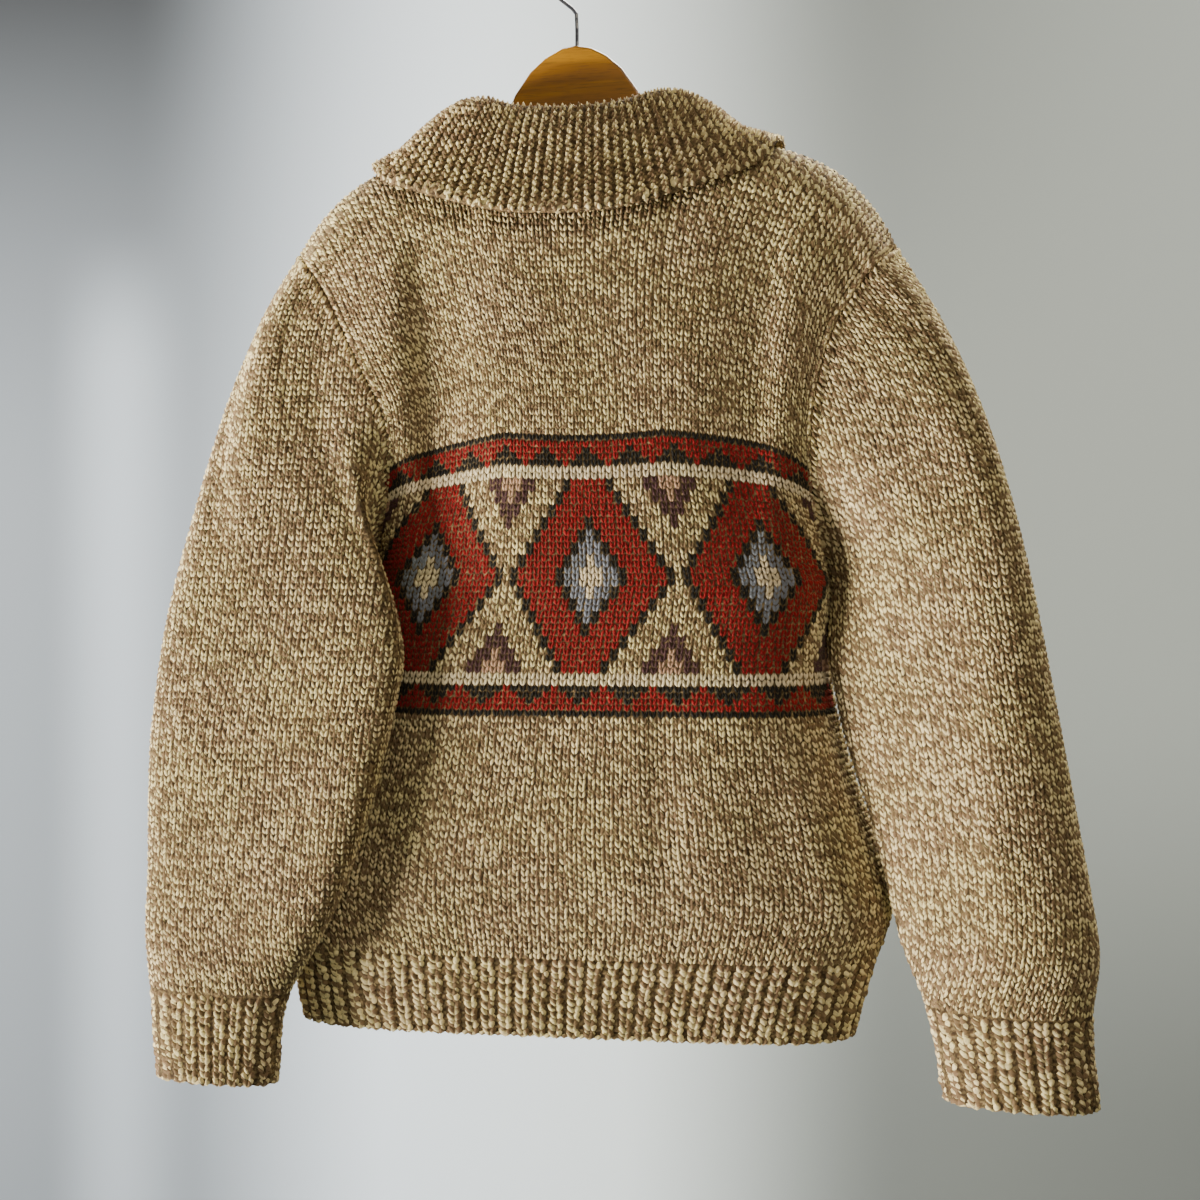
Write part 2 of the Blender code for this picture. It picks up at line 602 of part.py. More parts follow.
def collar_section(share, widths):
    """One cross-section of the collar's right half: a roll from the neck seam to the edge."""
    points, rise = neck_seam()
    run = np.r_[0, np.cumsum(np.linalg.norm(np.diff(points, axis=0), axis=1))]
    run /= run[-1]
    seam = np.array([np.interp(share, run, c) for c in points.T])
    up = unit(np.array([np.interp(share, run, c) for c in rise.T]))
    value = {c: float(read(COLLAR, "share", c, share)) for c in CollarStation._fields[1:]}
    edge = np.array([value["edge_x"], value["edge_y"], value["edge_z"]])
    lean = unit(np.array([value["lean_x"], value["lean_y"], value["lean_z"]]))
    start = seam + up * (KNIT_WALL / 2 + COLLAR_LIFT)
    over = seam + (edge - seam) * 0.42 + lean * value["stand"] * 0.95
    rising = start + lean * value["stand"] * 1.15
    t = np.asarray(widths, float)[:, None]
    return (
        (1 - t) ** 3 * start
        + 3 * (1 - t) ** 2 * t * rising
        + 3 * (1 - t) * t**2 * over
        + t**3 * edge
    )


def collar_shares():
    """Shares of the neck seam that put the garter ridges at even steps across the fall."""
    trial = np.linspace(0, 1, 121)
    line = np.array([collar_section(s, [0.75])[0] for s in trial])
    run = np.r_[0, np.cumsum(np.linalg.norm(np.diff(line, axis=0), axis=1))]
    ridges = round(run[-1] / RIDGE_PITCH)
    return np.interp(np.linspace(0, run[-1], 2 * ridges + 1), run, trial)


def lay_over(grid, panels, clearance):
    """Pushes the points of a grid that lie on the panels out to a clearance from them."""
    trees = []
    for panel, normals in panels:
        verts = [tuple(p) for row in panel for p in row]
        wide = panel.shape[1]
        quads = [
            (i * wide + j, i * wide + j + 1, (i + 1) * wide + j + 1, (i + 1) * wide + j)
            for i in range(panel.shape[0] - 1)
            for j in range(wide - 1)
        ]
        trees.append((BVHTree.FromPolygons(verts, quads), normals.reshape(-1, 3), quads))
    laid = grid.copy()
    for row in laid:
        for point in row:
            near = [(tree.find_nearest(tuple(point)), n, quads) for tree, n, quads in trees]
            (spot, _, index, _), normals, quads = min(near, key=lambda found: found[0][3])
            out = unit(normals[list(quads[index])].mean(axis=0))
            height = float(np.dot(point - np.array(spot), out))
            point += out * max(0.0, clearance - height)
    return laid


def make_collar(wool):
    widths = np.r_[
        np.linspace(0, COLLAR_FALL_FROM, COLLAR_STAND_ROWS + 1)[:-1],
        np.linspace(COLLAR_FALL_FROM, 1, COLLAR_FALL_ROWS + 1),
    ]
    half = np.array([collar_section(s, widths) for s in collar_shares()])
    mirrored = half[:0:-1] * [-1, 1, 1]
    grid = np.concatenate([mirrored, half]).transpose(1, 0, 2)
    clearance = (KNIT_WALL + COLLAR_WALL) / 2 + COLLAR_CLEARANCE
    grid = lay_over(grid, body_panels(), clearance)
    normals = grid_normals(grid, -1)
    coarse = np.linspace(0, grid.shape[1] - 1, (grid.shape[1] - 1) // 4 + 1).round().astype(int)
    crest = np.arange(grid.shape[1]) % 2
    outer, inner = [], []
    for i, (p, n) in enumerate(zip(grid, normals)):
        if i < COLLAR_STAND_ROWS:
            outer.append((p + n * COLLAR_WALL / 2)[coarse])
        else:
            outer.append(p + n * (COLLAR_WALL / 2 + RIDGE_HEIGHT * (crest - 1))[:, None])
        inner.append((p - n * COLLAR_WALL / 2)[coarse])
    return wall_object("collar", outer, inner, wool)


# ---------------------------------------------------------------- bands and buttons
def band_middle(x, z):
    """A point of the front's surface on the button band, below the V."""
    level = (z - ARMPIT_Z) / (ARMPIT_Z - HEM_Z) if z < ARMPIT_Z else 0.0
    if z >= ARMPIT_Z:
        level = (z - ARMPIT_Z) / (float(shoulder_z(0.0)) - ARMPIT_Z)
    middle = body_point(FRONT, 0.0, level)
    half = body_point(FRONT, 1.0, level)[0] - middle[0]
    point = body_point(FRONT, (x - middle[0]) / half, level)
    return np.array([x, point[1], z])


def make_band(name, lift, free_share, wool):
    """A ribbed strip down the opening. free_share: how far it reaches towards the left front."""
    top = ARMPIT_Z + V_LEVEL * (float(shoulder_z(0.0)) - ARMPIT_Z)
    half = BAND_HALF_WIDTH - SEAM_GAP / 2
    xs = np.linspace(-half * free_share, half, 2 * BAND_RIBS + 1)
    zs = np.linspace(HEM_Z, top, BAND_ROWS)
    grid = np.array([[band_middle(x, z) for x in xs] for z in zs])
    grid[..., 1] += lift
    normals = grid_normals(grid, -1)
    crest = np.arange(len(xs)) % 2
    thick = KNIT_WALL * BAND_THINNING
    outer = [
        p + n * (thick / 2 + RIB_HEIGHT * (crest - 1))[:, None] for p, n in zip(grid, normals)
    ]
    inner = [p[::3] - n[::3] * thick / 2 for p, n in zip(grid, normals)]
    return wall_object(name, outer, inner, wool)


def turned_button():
    """A dished disc, its back face at the origin, facing +Z."""
    profile = [
        (0.0, BUTTON_THICK - BUTTON_DISH),
        (BUTTON_RADIUS - BUTTON_RIM - BUTTON_EDGE, BUTTON_THICK - BUTTON_DISH),
        (BUTTON_RADIUS - BUTTON_RIM, BUTTON_THICK),
        (BUTTON_RADIUS, BUTTON_THICK - BUTTON_EDGE),
        (BUTTON_RADIUS - BUTTON_UNDERCUT, 0.0),
        (0.0, 0.0),
    ]
    mesh = bpy.data.meshes.new("button_profile")
    edges = [(i, i + 1) for i in range(len(profile) - 1)]
    mesh.from_pydata([(r, 0.0, z) for r, z in profile], edges, [])
    button = helper("button_profile", mesh)
    turned = button.modifiers.new("turned", "SCREW")
    turned.axis = "Z"
    turned.steps = BUTTON_STEPS
    turned.render_steps = BUTTON_STEPS
    turned.use_merge_vertices = True
    turned.merge_threshold = WELD_DISTANCE
    turned.use_normal_calculate = True
    return button


def hole_cutter():
    bm = bmesh.new()
    for quarter in range(4):
        angle = math.pi / 4 + quarter * math.pi / 2
        made = bmesh.ops.create_cone(
            bm, cap_ends=True, segments=BUTTON_HOLE_SIDES, radius1=BUTTON_HOLE_RADIUS,
            radius2=BUTTON_HOLE_RADIUS, depth=4 * BUTTON_THICK,
        )
        offset = (math.cos(angle) * BUTTON_HOLE_OFFSET, math.sin(angle) * BUTTON_HOLE_OFFSET, 0)
        bmesh.ops.translate(bm, verts=made["verts"], vec=offset)
    mesh = bpy.data.meshes.new("hole_cutter")
    bm.to_mesh(mesh)
    bm.free()
    return helper("hole_cutter", mesh)


def helper(name, mesh):
    made = bpy.data.objects.new(name, mesh)
    made.hide_render = True
    made.display_type = "WIRE"
    CUTTERS.objects.link(made)
    return made


def cut(target, cutter):
    modifier = target.modifiers.new("cut", "BOOLEAN")
    modifier.operation = "DIFFERENCE"
    modifier.object = cutter


def evaluated_mesh(source):
    """The mesh that an object has after its modifiers, welded along its edges."""
    bpy.context.view_layer.update()
    mesh = bpy.data.meshes.new_from_object(
        source.evaluated_get(bpy.context.evaluated_depsgraph_get())
    )
    bm = bmesh.new()
    bm.from_mesh(mesh)
    bmesh.ops.remove_doubles(bm, verts=bm.verts, dist=WELD_DISTANCE)
    bm.to_mesh(mesh)
    bm.free()
    mesh.materials.clear()
    return mesh


def make_buttons(horn):
    plain = turned_button()
    cut(plain, hole_cutter())
    pierced = evaluated_mesh(plain)
    pierced.materials.append(horn)
    pierced.shade_smooth()
    pierced.set_sharp_from_angle(angle=SHARP_ANGLE)
    for i in range(BUTTON_COUNT):
        z = BUTTON_TOP_Z - i * BUTTON_SPACING
        middle = band_middle(0.0, z)
        slope = band_middle(0.0, z + 0.01) - band_middle(0.0, z - 0.01)
        button = bpy.data.objects.new(f"button_{i + 1}", pierced)
        lift = BAND_LIFT + KNIT_WALL * BAND_THINNING / 2 + SEAM_GAP
        button.location = (0.0, middle[1] + lift + BUTTON_CLEARANCE, z)
        button.rotation_euler = (-math.pi / 2 + math.atan2(-slope[1], slope[2]), 0, 0)
        GARMENT.objects.link(button)


# ---------------------------------------------------------------- hanger
def hanger_top(x):
    """Upper edge of the wood: a rounded hump in the neck, then just under the shoulders."""
    cloth = min(float(shoulder_z(x)), float(shoulder_z(-x)))
    step = 1e-4
    slopes = [float(shoulder_z(s * x + step) - shoulder_z(s * x - step)) for s in (-1, 1)]
    slope = max(abs(value) for value in slopes) / (2 * step)
    clearance = HANGER_CLEARANCE * (1 + (x / HANGER_HALF_LENGTH) ** 4)
    under_cloth = cloth - (KNIT_WALL / 2 + clearance) * math.hypot(1, slope)
    hump = HANGER_TOP_Z - HANGER_HUMP_SPREAD * x * x
    start, end = HANGER_HUMP_ENDS
    blend = min(max((abs(x) - start) / (end - start), 0.0), 1.0)
    blend = blend * blend * (3 - 2 * blend)
    return (1 - blend) * hump + blend * under_cloth


def hanger_low(x):
    """Lower edge of the wood, deepest under the hump."""
    belly = HANGER_BELLY * math.exp(-((x / HANGER_BELLY_WIDTH) ** 2))
    arch = HANGER_LOW_ARCH * math.cos(math.pi / 2 * x / HANGER_HALF_LENGTH)
    return hanger_top(x) - HANGER_ARM_HEIGHT - arch - belly


def make_hanger(wood):
    """A flat-sawn body: a 2D curve, extruded to its thickness and rounded at its edges."""
    xs = np.linspace(-HANGER_HALF_LENGTH, HANGER_HALF_LENGTH, HANGER_POINTS)
    points = [(x, hanger_top(x)) for x in xs] + [(x, hanger_low(x)) for x in xs[::-1]]
    curve = bpy.data.curves.new("hanger_outline", "CURVE")
    curve.dimensions = "2D"
    curve.fill_mode = "BOTH"
    curve.extrude = HANGER_THICK / 2
    spline = curve.splines.new("POLY")
    spline.points.add(len(points) - 1)
    for point, (x, z) in zip(spline.points, points):
        point.co = (x, z, 0, 1)
    spline.use_cyclic_u = True
    mesh = evaluated_mesh(helper("hanger_outline", curve))
    mesh.transform(Matrix.Rotation(math.pi / 2, 4, "X"))
    mesh.materials.append(wood)
    mesh.shade_smooth()
    mesh.set_sharp_from_angle(angle=SHARP_ANGLE)
    hanger = bpy.data.objects.new("hanger_body", mesh)
    GARMENT.objects.link(hanger)
    bevel = hanger.modifiers.new("rounded edges", "BEVEL")
    bevel.width = HANGER_EDGE
    bevel.segments = 2
    bevel.limit_method = "ANGLE"
    bevel.angle_limit = SHARP_ANGLE
    socket = bmesh.new()
    bmesh.ops.create_cone(
        socket, cap_ends=True, segments=12, radius1=WIRE_RADIUS + SEAM_GAP,
        radius2=WIRE_RADIUS + SEAM_GAP, depth=2 * HOOK_SOCKET,
    )
    bmesh.ops.translate(socket, verts=socket.verts, vec=(0, 0, HANGER_TOP_Z))
    mesh = bpy.data.meshes.new("socket_cutter")
    socket.to_mesh(mesh)
    socket.free()
    cut(hanger, helper("socket_cutter", mesh))
    return hanger


def make_hook(steel):
    """Bent wire: straight out of the wood, a jog to one side, then the round hook."""
    centre_z = -HOOK_RADIUS + WIRE_RADIUS
    shank = ((0.0, 0.001 - HOOK_SOCKET), *HOOK_SHANK)
    points = [(x, HANGER_TOP_Z + z) for x, z in shank]
    turn_from, turn_to, steps = HOOK_ARC
    for i in range(steps + 1):
        angle = math.radians(turn_from + (turn_to - turn_from) * i / steps)
        points.append((HOOK_RADIUS * math.cos(angle), centre_z + HOOK_RADIUS * math.sin(angle)))
    curve = bpy.data.curves.new("hook", "CURVE")
    curve.dimensions = "3D"
    spline = curve.splines.new("POLY")
    spline.points.add(len(points) - 1)
    for point, (x, z) in zip(spline.points, points):
        point.co = (x, 0, z, 1)
    curve.bevel_depth = WIRE_RADIUS
    curve.bevel_resolution = 2
    curve.use_fill_caps = True
    curve.materials.append(steel)
    hook = bpy.data.objects.new("hook", curve)
    GARMENT.objects.link(hook)
    return hook


# ---------------------------------------------------------------- scene
def collection(name):
    made = bpy.data.collections.new(name)
    bpy.context.scene.collection.children.link(made)
    return made


def finish(name, colour, roughness, metallic=0.0):
    material = bpy.data.materials.new(name)
    material.use_nodes = True
    shader = material.node_tree.nodes["Principled BSDF"]
    shader.inputs["Base Color"].default_value = (*colour, 1)
    shader.inputs["Roughness"].default_value = roughness
    shader.inputs["Metallic"].default_value = metallic
    return material


for old in list(bpy.data.objects):
    bpy.data.objects.remove(old)
GARMENT = collection("cowichan_cardigan")
CUTTERS = collection("cutters")
marled_wool = finish("marled_wool", (0.44, 0.34, 0.22), 0.95)
garter_wool = finish("garter_wool", (0.38, 0.30, 0.19), 0.95)
varnished_wood = finish("varnished_wood", (0.42, 0.20, 0.06), 0.35)
dark_steel = finish("dark_steel", (0.05, 0.05, 0.06), 0.35, 1.0)
button_horn = finish("button_horn", (0.10, 0.06, 0.035), 0.35)
make_body_and_sleeves(marled_wool)
make_collar(garter_wool)
make_band("band_right", -BAND_LIFT, BAND_FREE_SHARE, marled_wool)
make_band("band_left", BAND_LIFT, 1.0, marled_wool)
make_buttons(button_horn)
make_hanger(varnished_wood)
make_hook(dark_steel)
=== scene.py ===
"""A hand-knitted cowichan cardigan of bulky marled wool, hung on a curved wooden hanger.

Metres, +Z up. The wearer's back faces -Y and the buttoned front faces +Y, so the wearer's left
arm is at -X. The origin is the inside of the hook's bend, where it rests on a rail.

Each knitted piece is a sheet of cloth with its stitches on it: the sheet follows the piece's
form, and every leg of every stitch is a small scale laid on the sheet, wale by wale.
"""

from __future__ import annotations

import logging
import math
from dataclasses import dataclass, field, replace
from enum import Enum
from typing import NamedTuple, Sequence

import bmesh
import bpy
import numpy as np
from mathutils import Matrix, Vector
from mathutils.bvhtree import BVHTree

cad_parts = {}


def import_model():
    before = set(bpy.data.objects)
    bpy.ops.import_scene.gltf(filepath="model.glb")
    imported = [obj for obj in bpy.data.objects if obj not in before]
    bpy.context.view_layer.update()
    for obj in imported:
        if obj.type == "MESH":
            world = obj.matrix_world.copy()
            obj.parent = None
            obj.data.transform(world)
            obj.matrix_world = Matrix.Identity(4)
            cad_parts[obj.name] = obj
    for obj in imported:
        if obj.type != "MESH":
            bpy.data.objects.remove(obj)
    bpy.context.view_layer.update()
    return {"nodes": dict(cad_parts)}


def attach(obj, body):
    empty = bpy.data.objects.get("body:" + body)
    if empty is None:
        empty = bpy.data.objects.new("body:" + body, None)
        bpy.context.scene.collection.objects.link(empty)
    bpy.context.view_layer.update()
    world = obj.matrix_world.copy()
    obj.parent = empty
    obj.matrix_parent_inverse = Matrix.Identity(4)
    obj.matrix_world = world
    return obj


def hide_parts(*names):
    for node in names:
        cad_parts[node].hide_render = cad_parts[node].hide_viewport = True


log = logging.getLogger("cardigan")
HALF_PI = math.pi / 2
BODY = "root"
FLAT_MAP = "OFBake"  # the map of each piece laid flat
Colour = tuple[float, float, float, float]
Place = tuple[float, float, float]
Skin = tuple[np.ndarray, np.ndarray]  # points of a surface and the ways out of it there


class Facing(Enum):
    """The two faces of the body."""

    BACK = -1
    FRONT = 1


class Side(Enum):
    """The wearer's left and right."""

    LEFT = -1
    RIGHT = 1

    @property
    def word(self) -> str:
        """The side's name in a piece's name."""
        return self.name.lower()


# ---------------------------------------------------------------- small mathematics
def unit(vectors: np.ndarray) -> np.ndarray:
    """The same vectors with a length of one."""
    return vectors / np.maximum(np.linalg.norm(vectors, axis=-1, keepdims=True), 1e-12)


def smooth(value: np.ndarray | float) -> np.ndarray | float:
    """An S-curve from 0 to 1, flat at both ends."""
    t = np.clip(value, 0.0, 1.0)
    return t * t * (3 - 2 * t)


def run_lengths(points: np.ndarray) -> np.ndarray:
    """How far along a polyline each of its points lies."""
    return np.r_[0, np.cumsum(np.linalg.norm(np.diff(points, axis=0), axis=1))]


def along(points: np.ndarray, run: np.ndarray, at: np.ndarray) -> np.ndarray:
    """Points of a polyline at given distances along it.

    Args:
        points: The polyline's points, or other values there, one row each.
        run: The distance of each of them.
        at: The distances to read.

    Returns:
        One row for each distance.
    """
    return np.stack([np.interp(at, run, column) for column in points.T], axis=1)


def even_skin(skin: Skin, steps: int) -> Skin:
    """A line of a surface at even steps along it, both ends included.

    Args:
        skin: The line's points and normals.
        steps: How many steps to take.

    Returns:
        Points and unit normals, one more than the steps.
    """
    points, normals = skin
    run = run_lengths(points)
    at = np.linspace(0, run[-1], steps + 1)
    return along(points, run, at), unit(along(normals, run, at))


def hermite(
    t: np.ndarray, start: np.ndarray, leave: np.ndarray, end: np.ndarray, arrive: np.ndarray
) -> np.ndarray:
    """A smooth curve from one value to another.

    Args:
        t: 0 to 1 along the curve.
        start: The value at 0.
        leave: The slope at 0.
        end: The value at 1.
        arrive: The slope at 1.

    Returns:
        The value at each t.
    """
    return (
        (2 * t**3 - 3 * t**2 + 1) * start
        + (t**3 - 2 * t**2 + t) * leave
        + (3 * t**2 - 2 * t**3) * end
        + (t**3 - t**2) * arrive
    )


@dataclass(frozen=True)
class Table:
    """Rows with named columns, read with a smooth curve through them."""

    key: str
    rows: tuple[NamedTuple, ...]

    def read(self, column: str, at: np.ndarray | float) -> np.ndarray:
        """Reads one column.

        Args:
            column: The column's name.
            at: Where along the key column, held between its ends.

        Returns:
            The values there.
        """
        xs = np.array([getattr(row, self.key) for row in self.rows], float)
        ys = np.array([getattr(row, column) for row in self.rows], float)
        if xs[0] > xs[-1]:
            xs, ys = xs[::-1], ys[::-1]
        slopes = np.gradient(ys, xs)
        at = np.clip(np.asarray(at, float), xs[0], xs[-1])
        i = np.clip(np.searchsorted(xs, at, side="right") - 1, 0, len(xs) - 2)
        span = xs[i + 1] - xs[i]
        t = (at - xs[i]) / span
        return hermite(t, ys[i], span * slopes[i], ys[i + 1], span * slopes[i + 1])


# ---------------------------------------------------------------- the body's form
class BodySection(NamedTuple):
    """A level section of the body below the arms."""

    z: float
    half_width: float
    back_depth: float
    front_depth: float
    sway: float


class ArmholeSection(NamedTuple):
    """A row of the body above the armpit: share 0 at the armpit and 1 at the shoulder tip."""

    share: float
    left_x: float
    right_x: float
    left_depth: float
    right_depth: float
    middle_depth: float


class Fold(NamedTuple):
    """A soft trough that runs down a panel between two points."""

    facing: Facing
    x_top: float
    z_top: float
    x_low: float
    z_low: float
    left_width: float
    right_width: float
    depth: float


BODY_SECTIONS = Table(
    "z",
    (
        BodySection(-0.826, 0.210, 0.040, 0.038, -0.003),
        BodySection(-0.800, 0.216, 0.042, 0.041, -0.002),
        BodySection(-0.768, 0.222, 0.046, 0.046, 0.001),
        BodySection(-0.730, 0.232, 0.052, 0.052, 0.002),
        BodySection(-0.680, 0.219, 0.057, 0.055, 0.002),
        BodySection(-0.620, 0.196, 0.061, 0.058, 0.005),
        BodySection(-0.560, 0.179, 0.064, 0.060, 0.009),
        BodySection(-0.492, 0.172, 0.066, 0.061, 0.018),
    ),
)
ARMHOLE_SECTIONS = Table(
    "share",
    (
        ArmholeSection(0.00, -0.154, 0.190, 0.000, 0.000, 0.066),
        ArmholeSection(0.13, -0.145, 0.183, 0.028, 0.022, 0.068),
        ArmholeSection(0.30, -0.135, 0.177, 0.050, 0.042, 0.070),
        ArmholeSection(0.47, -0.134, 0.177, 0.062, 0.053, 0.070),
        ArmholeSection(0.60, -0.150, 0.182, 0.061, 0.054, 0.069),
        ArmholeSection(0.72, -0.166, 0.191, 0.058, 0.054, 0.066),
        ArmholeSection(0.86, -0.186, 0.212, 0.054, 0.052, 0.061),
        ArmholeSection(0.95, -0.204, 0.229, 0.046, 0.046, 0.058),
        ArmholeSection(1.00, -0.218, 0.238, 0.000, 0.000, 0.056),
    ),
)
BODY_FOLDS = (
    Fold(Facing.BACK, -0.110, -0.235, -0.090, -0.530, 0.013, 0.045, 0.015),
    Fold(Facing.BACK, 0.150, -0.215, 0.128, -0.500, 0.034, 0.013, 0.007),
    Fold(Facing.BACK, -0.110, -0.480, -0.168, -0.760, 0.050, 0.022, 0.014),
    Fold(Facing.BACK, 0.135, -0.600, 0.180, -0.760, 0.034, 0.020, 0.004),
    Fold(Facing.BACK, 0.066, -0.560, 0.070, -0.740, 0.008, 0.022, 0.002),
    Fold(Facing.FRONT, -0.105, -0.330, -0.120, -0.560, 0.020, 0.020, 0.010),
    Fold(Facing.FRONT, 0.118, -0.310, 0.112, -0.600, 0.020, 0.020, 0.010),
    Fold(Facing.FRONT, -0.090, -0.560, -0.140, -0.780, 0.026, 0.026, 0.007),
    Fold(Facing.FRONT, 0.100, -0.620, 0.150, -0.790, 0.026, 0.026, 0.007),
)


@dataclass(frozen=True)
class Torso:
    """The form of the back and the fronts as they hang: the middle of the cloth."""

    hem_z: float = -0.826
    rib_top_z: float = -0.768
    armpit_z: float = -0.492
    neck_z: float = -0.155
    neck_dip: float = 0.010
    neck_half_width: float = 0.085
    back_neck_depth: float = 0.040
    front_neck_depth: float = 0.030
    shoulder_slopes: tuple[float, float] = (0.36, 0.25)  # at the left and at the right
    shoulder_roundings: tuple[float, float] = (0.034, 0.052)
    shoulder_powers: tuple[float, float] = (4.5, 5.5)
    band_half_width: float = 0.018
    v_level: float = 0.5
    front_flatter: float = 0.75
    front_middle_loss: float = 0.005
    bulge_power: float = 5.5
    edge_level: float = 0.2  # over which the panels' edges part at the armhole
    neck_power: float = 4.0  # how late the chest's form turns into the neck's
    fold_power: float = 0.7  # how bluntly a fold ends
    fold_fade: float = 0.125  # the part below the shoulder where folds fade
    angle_samples: int = 721
    level_samples: int = 700
    sections: Table = BODY_SECTIONS
    armhole: Table = ARMHOLE_SECTIONS
    folds: tuple[Fold, ...] = BODY_FOLDS

    def shoulder_z(self, x: np.ndarray) -> np.ndarray:
        """The height of the shoulder line over x.

        Args:
            x: Across the body.

        Returns:
            A height for each x.
        """
        x = np.asarray(x, float)
        tip = self.armhole.rows[-1]
        out = np.maximum(np.abs(x) - self.neck_half_width, 0)
        reach = np.where(x < 0, -tip.left_x, tip.right_x) - self.neck_half_width
        dip = self.neck_dip * np.maximum(1 - (x / self.neck_half_width) ** 2, 0)
        slope, rounding, power = (
            np.where(x < 0, *pair)
            for pair in (self.shoulder_slopes, self.shoulder_roundings, self.shoulder_powers)
        )
        drop = slope * out + rounding * (out / reach) ** power
        return self.neck_z - dip - drop

    def bulge(self, across: np.ndarray, flatness: float = 0.0) -> np.ndarray:
        """Height of a rounded panel over its half width: 1 in the middle and 0 at the edge."""
        inside = np.maximum(1 - np.abs(across) ** self.bulge_power, 0)
        return inside ** (0.5 + 0.5 * flatness)

    def fold_depth(self, facing: Facing, x: np.ndarray, z: np.ndarray) -> np.ndarray:
        """How far the folds push the cloth in at points of a face.

        Args:
            facing: Which face.
            x: The points' places across it.
            z: Their heights.

        Returns:
            A depth for each point.
        """
        total = np.zeros_like(x)
        for fold in self.folds:
            if fold.facing is not facing:
                continue
            down = np.clip((fold.z_top - z) / (fold.z_top - fold.z_low), 0, 1)
            middle = fold.x_top + (fold.x_low - fold.x_top) * down
            width = np.where(x < middle, fold.left_width, fold.right_width)
            spread = np.exp(-(((x - middle) / width) ** 2))
            total += fold.depth * np.sin(math.pi * down) ** self.fold_power * spread
        return total

    def point(self, facing: Facing, across: np.ndarray, level: float) -> np.ndarray:
        """Points of a face.

        Args:
            facing: Which face.
            across: -1 to 1, between the sides.
            level: -1 at the hem, 0 at the armpit and 1 on the shoulder line.

        Returns:
            One point for each value of across.
        """
        across = np.asarray(across, float)
        if level <= 0:
            z = np.full_like(across, self.armpit_z + level * (self.armpit_z - self.hem_z))
            column = "back_depth" if facing is Facing.BACK else "front_depth"
            x = self.sections.read("half_width", z) * across + self.sections.read("sway", z)
            y = self.sections.read(column, z) * self.bulge(across)
        else:
            tip = self.armhole.rows[-1]
            mean, half = (tip.left_x + tip.right_x) / 2, (tip.right_x - tip.left_x) / 2
            top_x = mean * across**2 + half * across
            z = self.armpit_z + (self.shoulder_z(top_x) - self.armpit_z) * level
            edge_x = [float(self.armhole.read(c, level)) for c in ("left_x", "right_x")]
            edge_y = [float(self.armhole.read(c, level)) for c in ("left_depth", "right_depth")]
            middle = float(self.armhole.read("middle_depth", level))
            depth = self.back_neck_depth
            if facing is Facing.FRONT:
                edge_y = [self.front_flatter * edge_y[1]] * 2
                middle -= self.front_middle_loss
                depth = self.front_neck_depth
            shift = (edge_x[0] + edge_x[1]) / 2
            x = (edge_x[1] - edge_x[0]) / 2 * across + shift * (1 - level * (1 - across**2))
            edge = (edge_y[0] * (1 - across) + edge_y[1] * (1 + across)) / 2
            chest = edge + (middle - edge) * self.bulge(across, min(1.0, level / self.edge_level))
            neck = depth * np.sqrt(np.maximum(1 - (top_x / self.neck_half_width) ** 2, 0))
            rounding = 1 - (1 - level**self.neck_power) ** (1 / self.neck_power)
            y = (1 - rounding) * chest + rounding * neck
        fade = min(1, (1 - level) / self.fold_fade)
        inward = self.fold_depth(facing, x, z) * self.bulge(across) * fade
        return np.stack([x, facing.value * (y - inward), z], axis=-1)

    def skin(self, facing: Facing, angle: np.ndarray, level: float) -> Skin:
        """Points of a face and the ways out of the cloth there.

        Args:
            facing: Which face.
            angle: -pi/2 to pi/2, whose sine is the share of the half width.
            level: As for point.

        Returns:
            The points and their unit normals.
        """
        step = 0.004
        east = self.point(facing, np.sin(np.minimum(angle + step, HALF_PI)), level)
        west = self.point(facing, np.sin(np.maximum(angle - step, -HALF_PI)), level)
        above = self.point(facing, np.sin(angle), min(level + step, 1.0))
        below = self.point(facing, np.sin(angle), max(level - step, -1.0))
        normals = unit(np.cross(east - west, above - below)) * -facing.value
        return self.point(facing, np.sin(angle), level), normals

    def angle_at(self, facing: Facing, x: float, level: float) -> float:
        """The angle of a face's row that lies at x."""
        angles = np.linspace(-HALF_PI, HALF_PI, self.angle_samples)
        return float(np.interp(x, self.point(facing, np.sin(angles), level)[:, 0], angles))

    def front_edge_x(self, level: float) -> float:
        """How far from the middle a front ends: beside the button band, or along the neck."""
        climb = max(0.0, (level - self.v_level) / (1 - self.v_level))
        return self.band_half_width + (self.neck_half_width - self.band_half_width) * climb

    @property
    def rib_level(self) -> float:
        """The level of the top of the ribbed hem."""
        return -(self.armpit_z - self.rib_top_z) / (self.armpit_z - self.hem_z)

    def levels_at_steps(self, facing: Facing, low: float, high: float, step: float) -> np.ndarray:
        """Levels that lie a step of cloth apart up the middle of a face.

        Args:
            facing: Which face.
            low: The first level.
            high: The last level.
            step: The cloth between two levels, about.

        Returns:
            The levels, both ends included.
        """
        fine = low + (high - low) * np.sin(np.linspace(0, HALF_PI, self.level_samples))
        run = run_lengths(np.array([self.point(facing, np.zeros(1), v)[0] for v in fine]))
        return np.interp(np.linspace(0, run[-1], round(run[-1] / step) + 1), run, fine)


# ---------------------------------------------------------------- the sleeves' form
class SleeveSection(NamedTuple):
    """A level ring of a sleeve."""

    z: float
    centre_x: float
    centre_y: float
    half_width: float
    back_depth: float
    front_depth: float
    turn: float
    crest: float  # how far out the back's crest lies, as a share of the half width
    slack: float  # 1 where the ring takes the arm's own powers, 0 where it is a plain oval


class SleeveStart(NamedTuple):
    """The way a sleeve leaves the armhole. Turn: 0 at the shoulder tip, 90 on the back, 180 at
    the armpit and 270 on the front."""

    turn: float
    outward: float
    backward: float
    downward: float


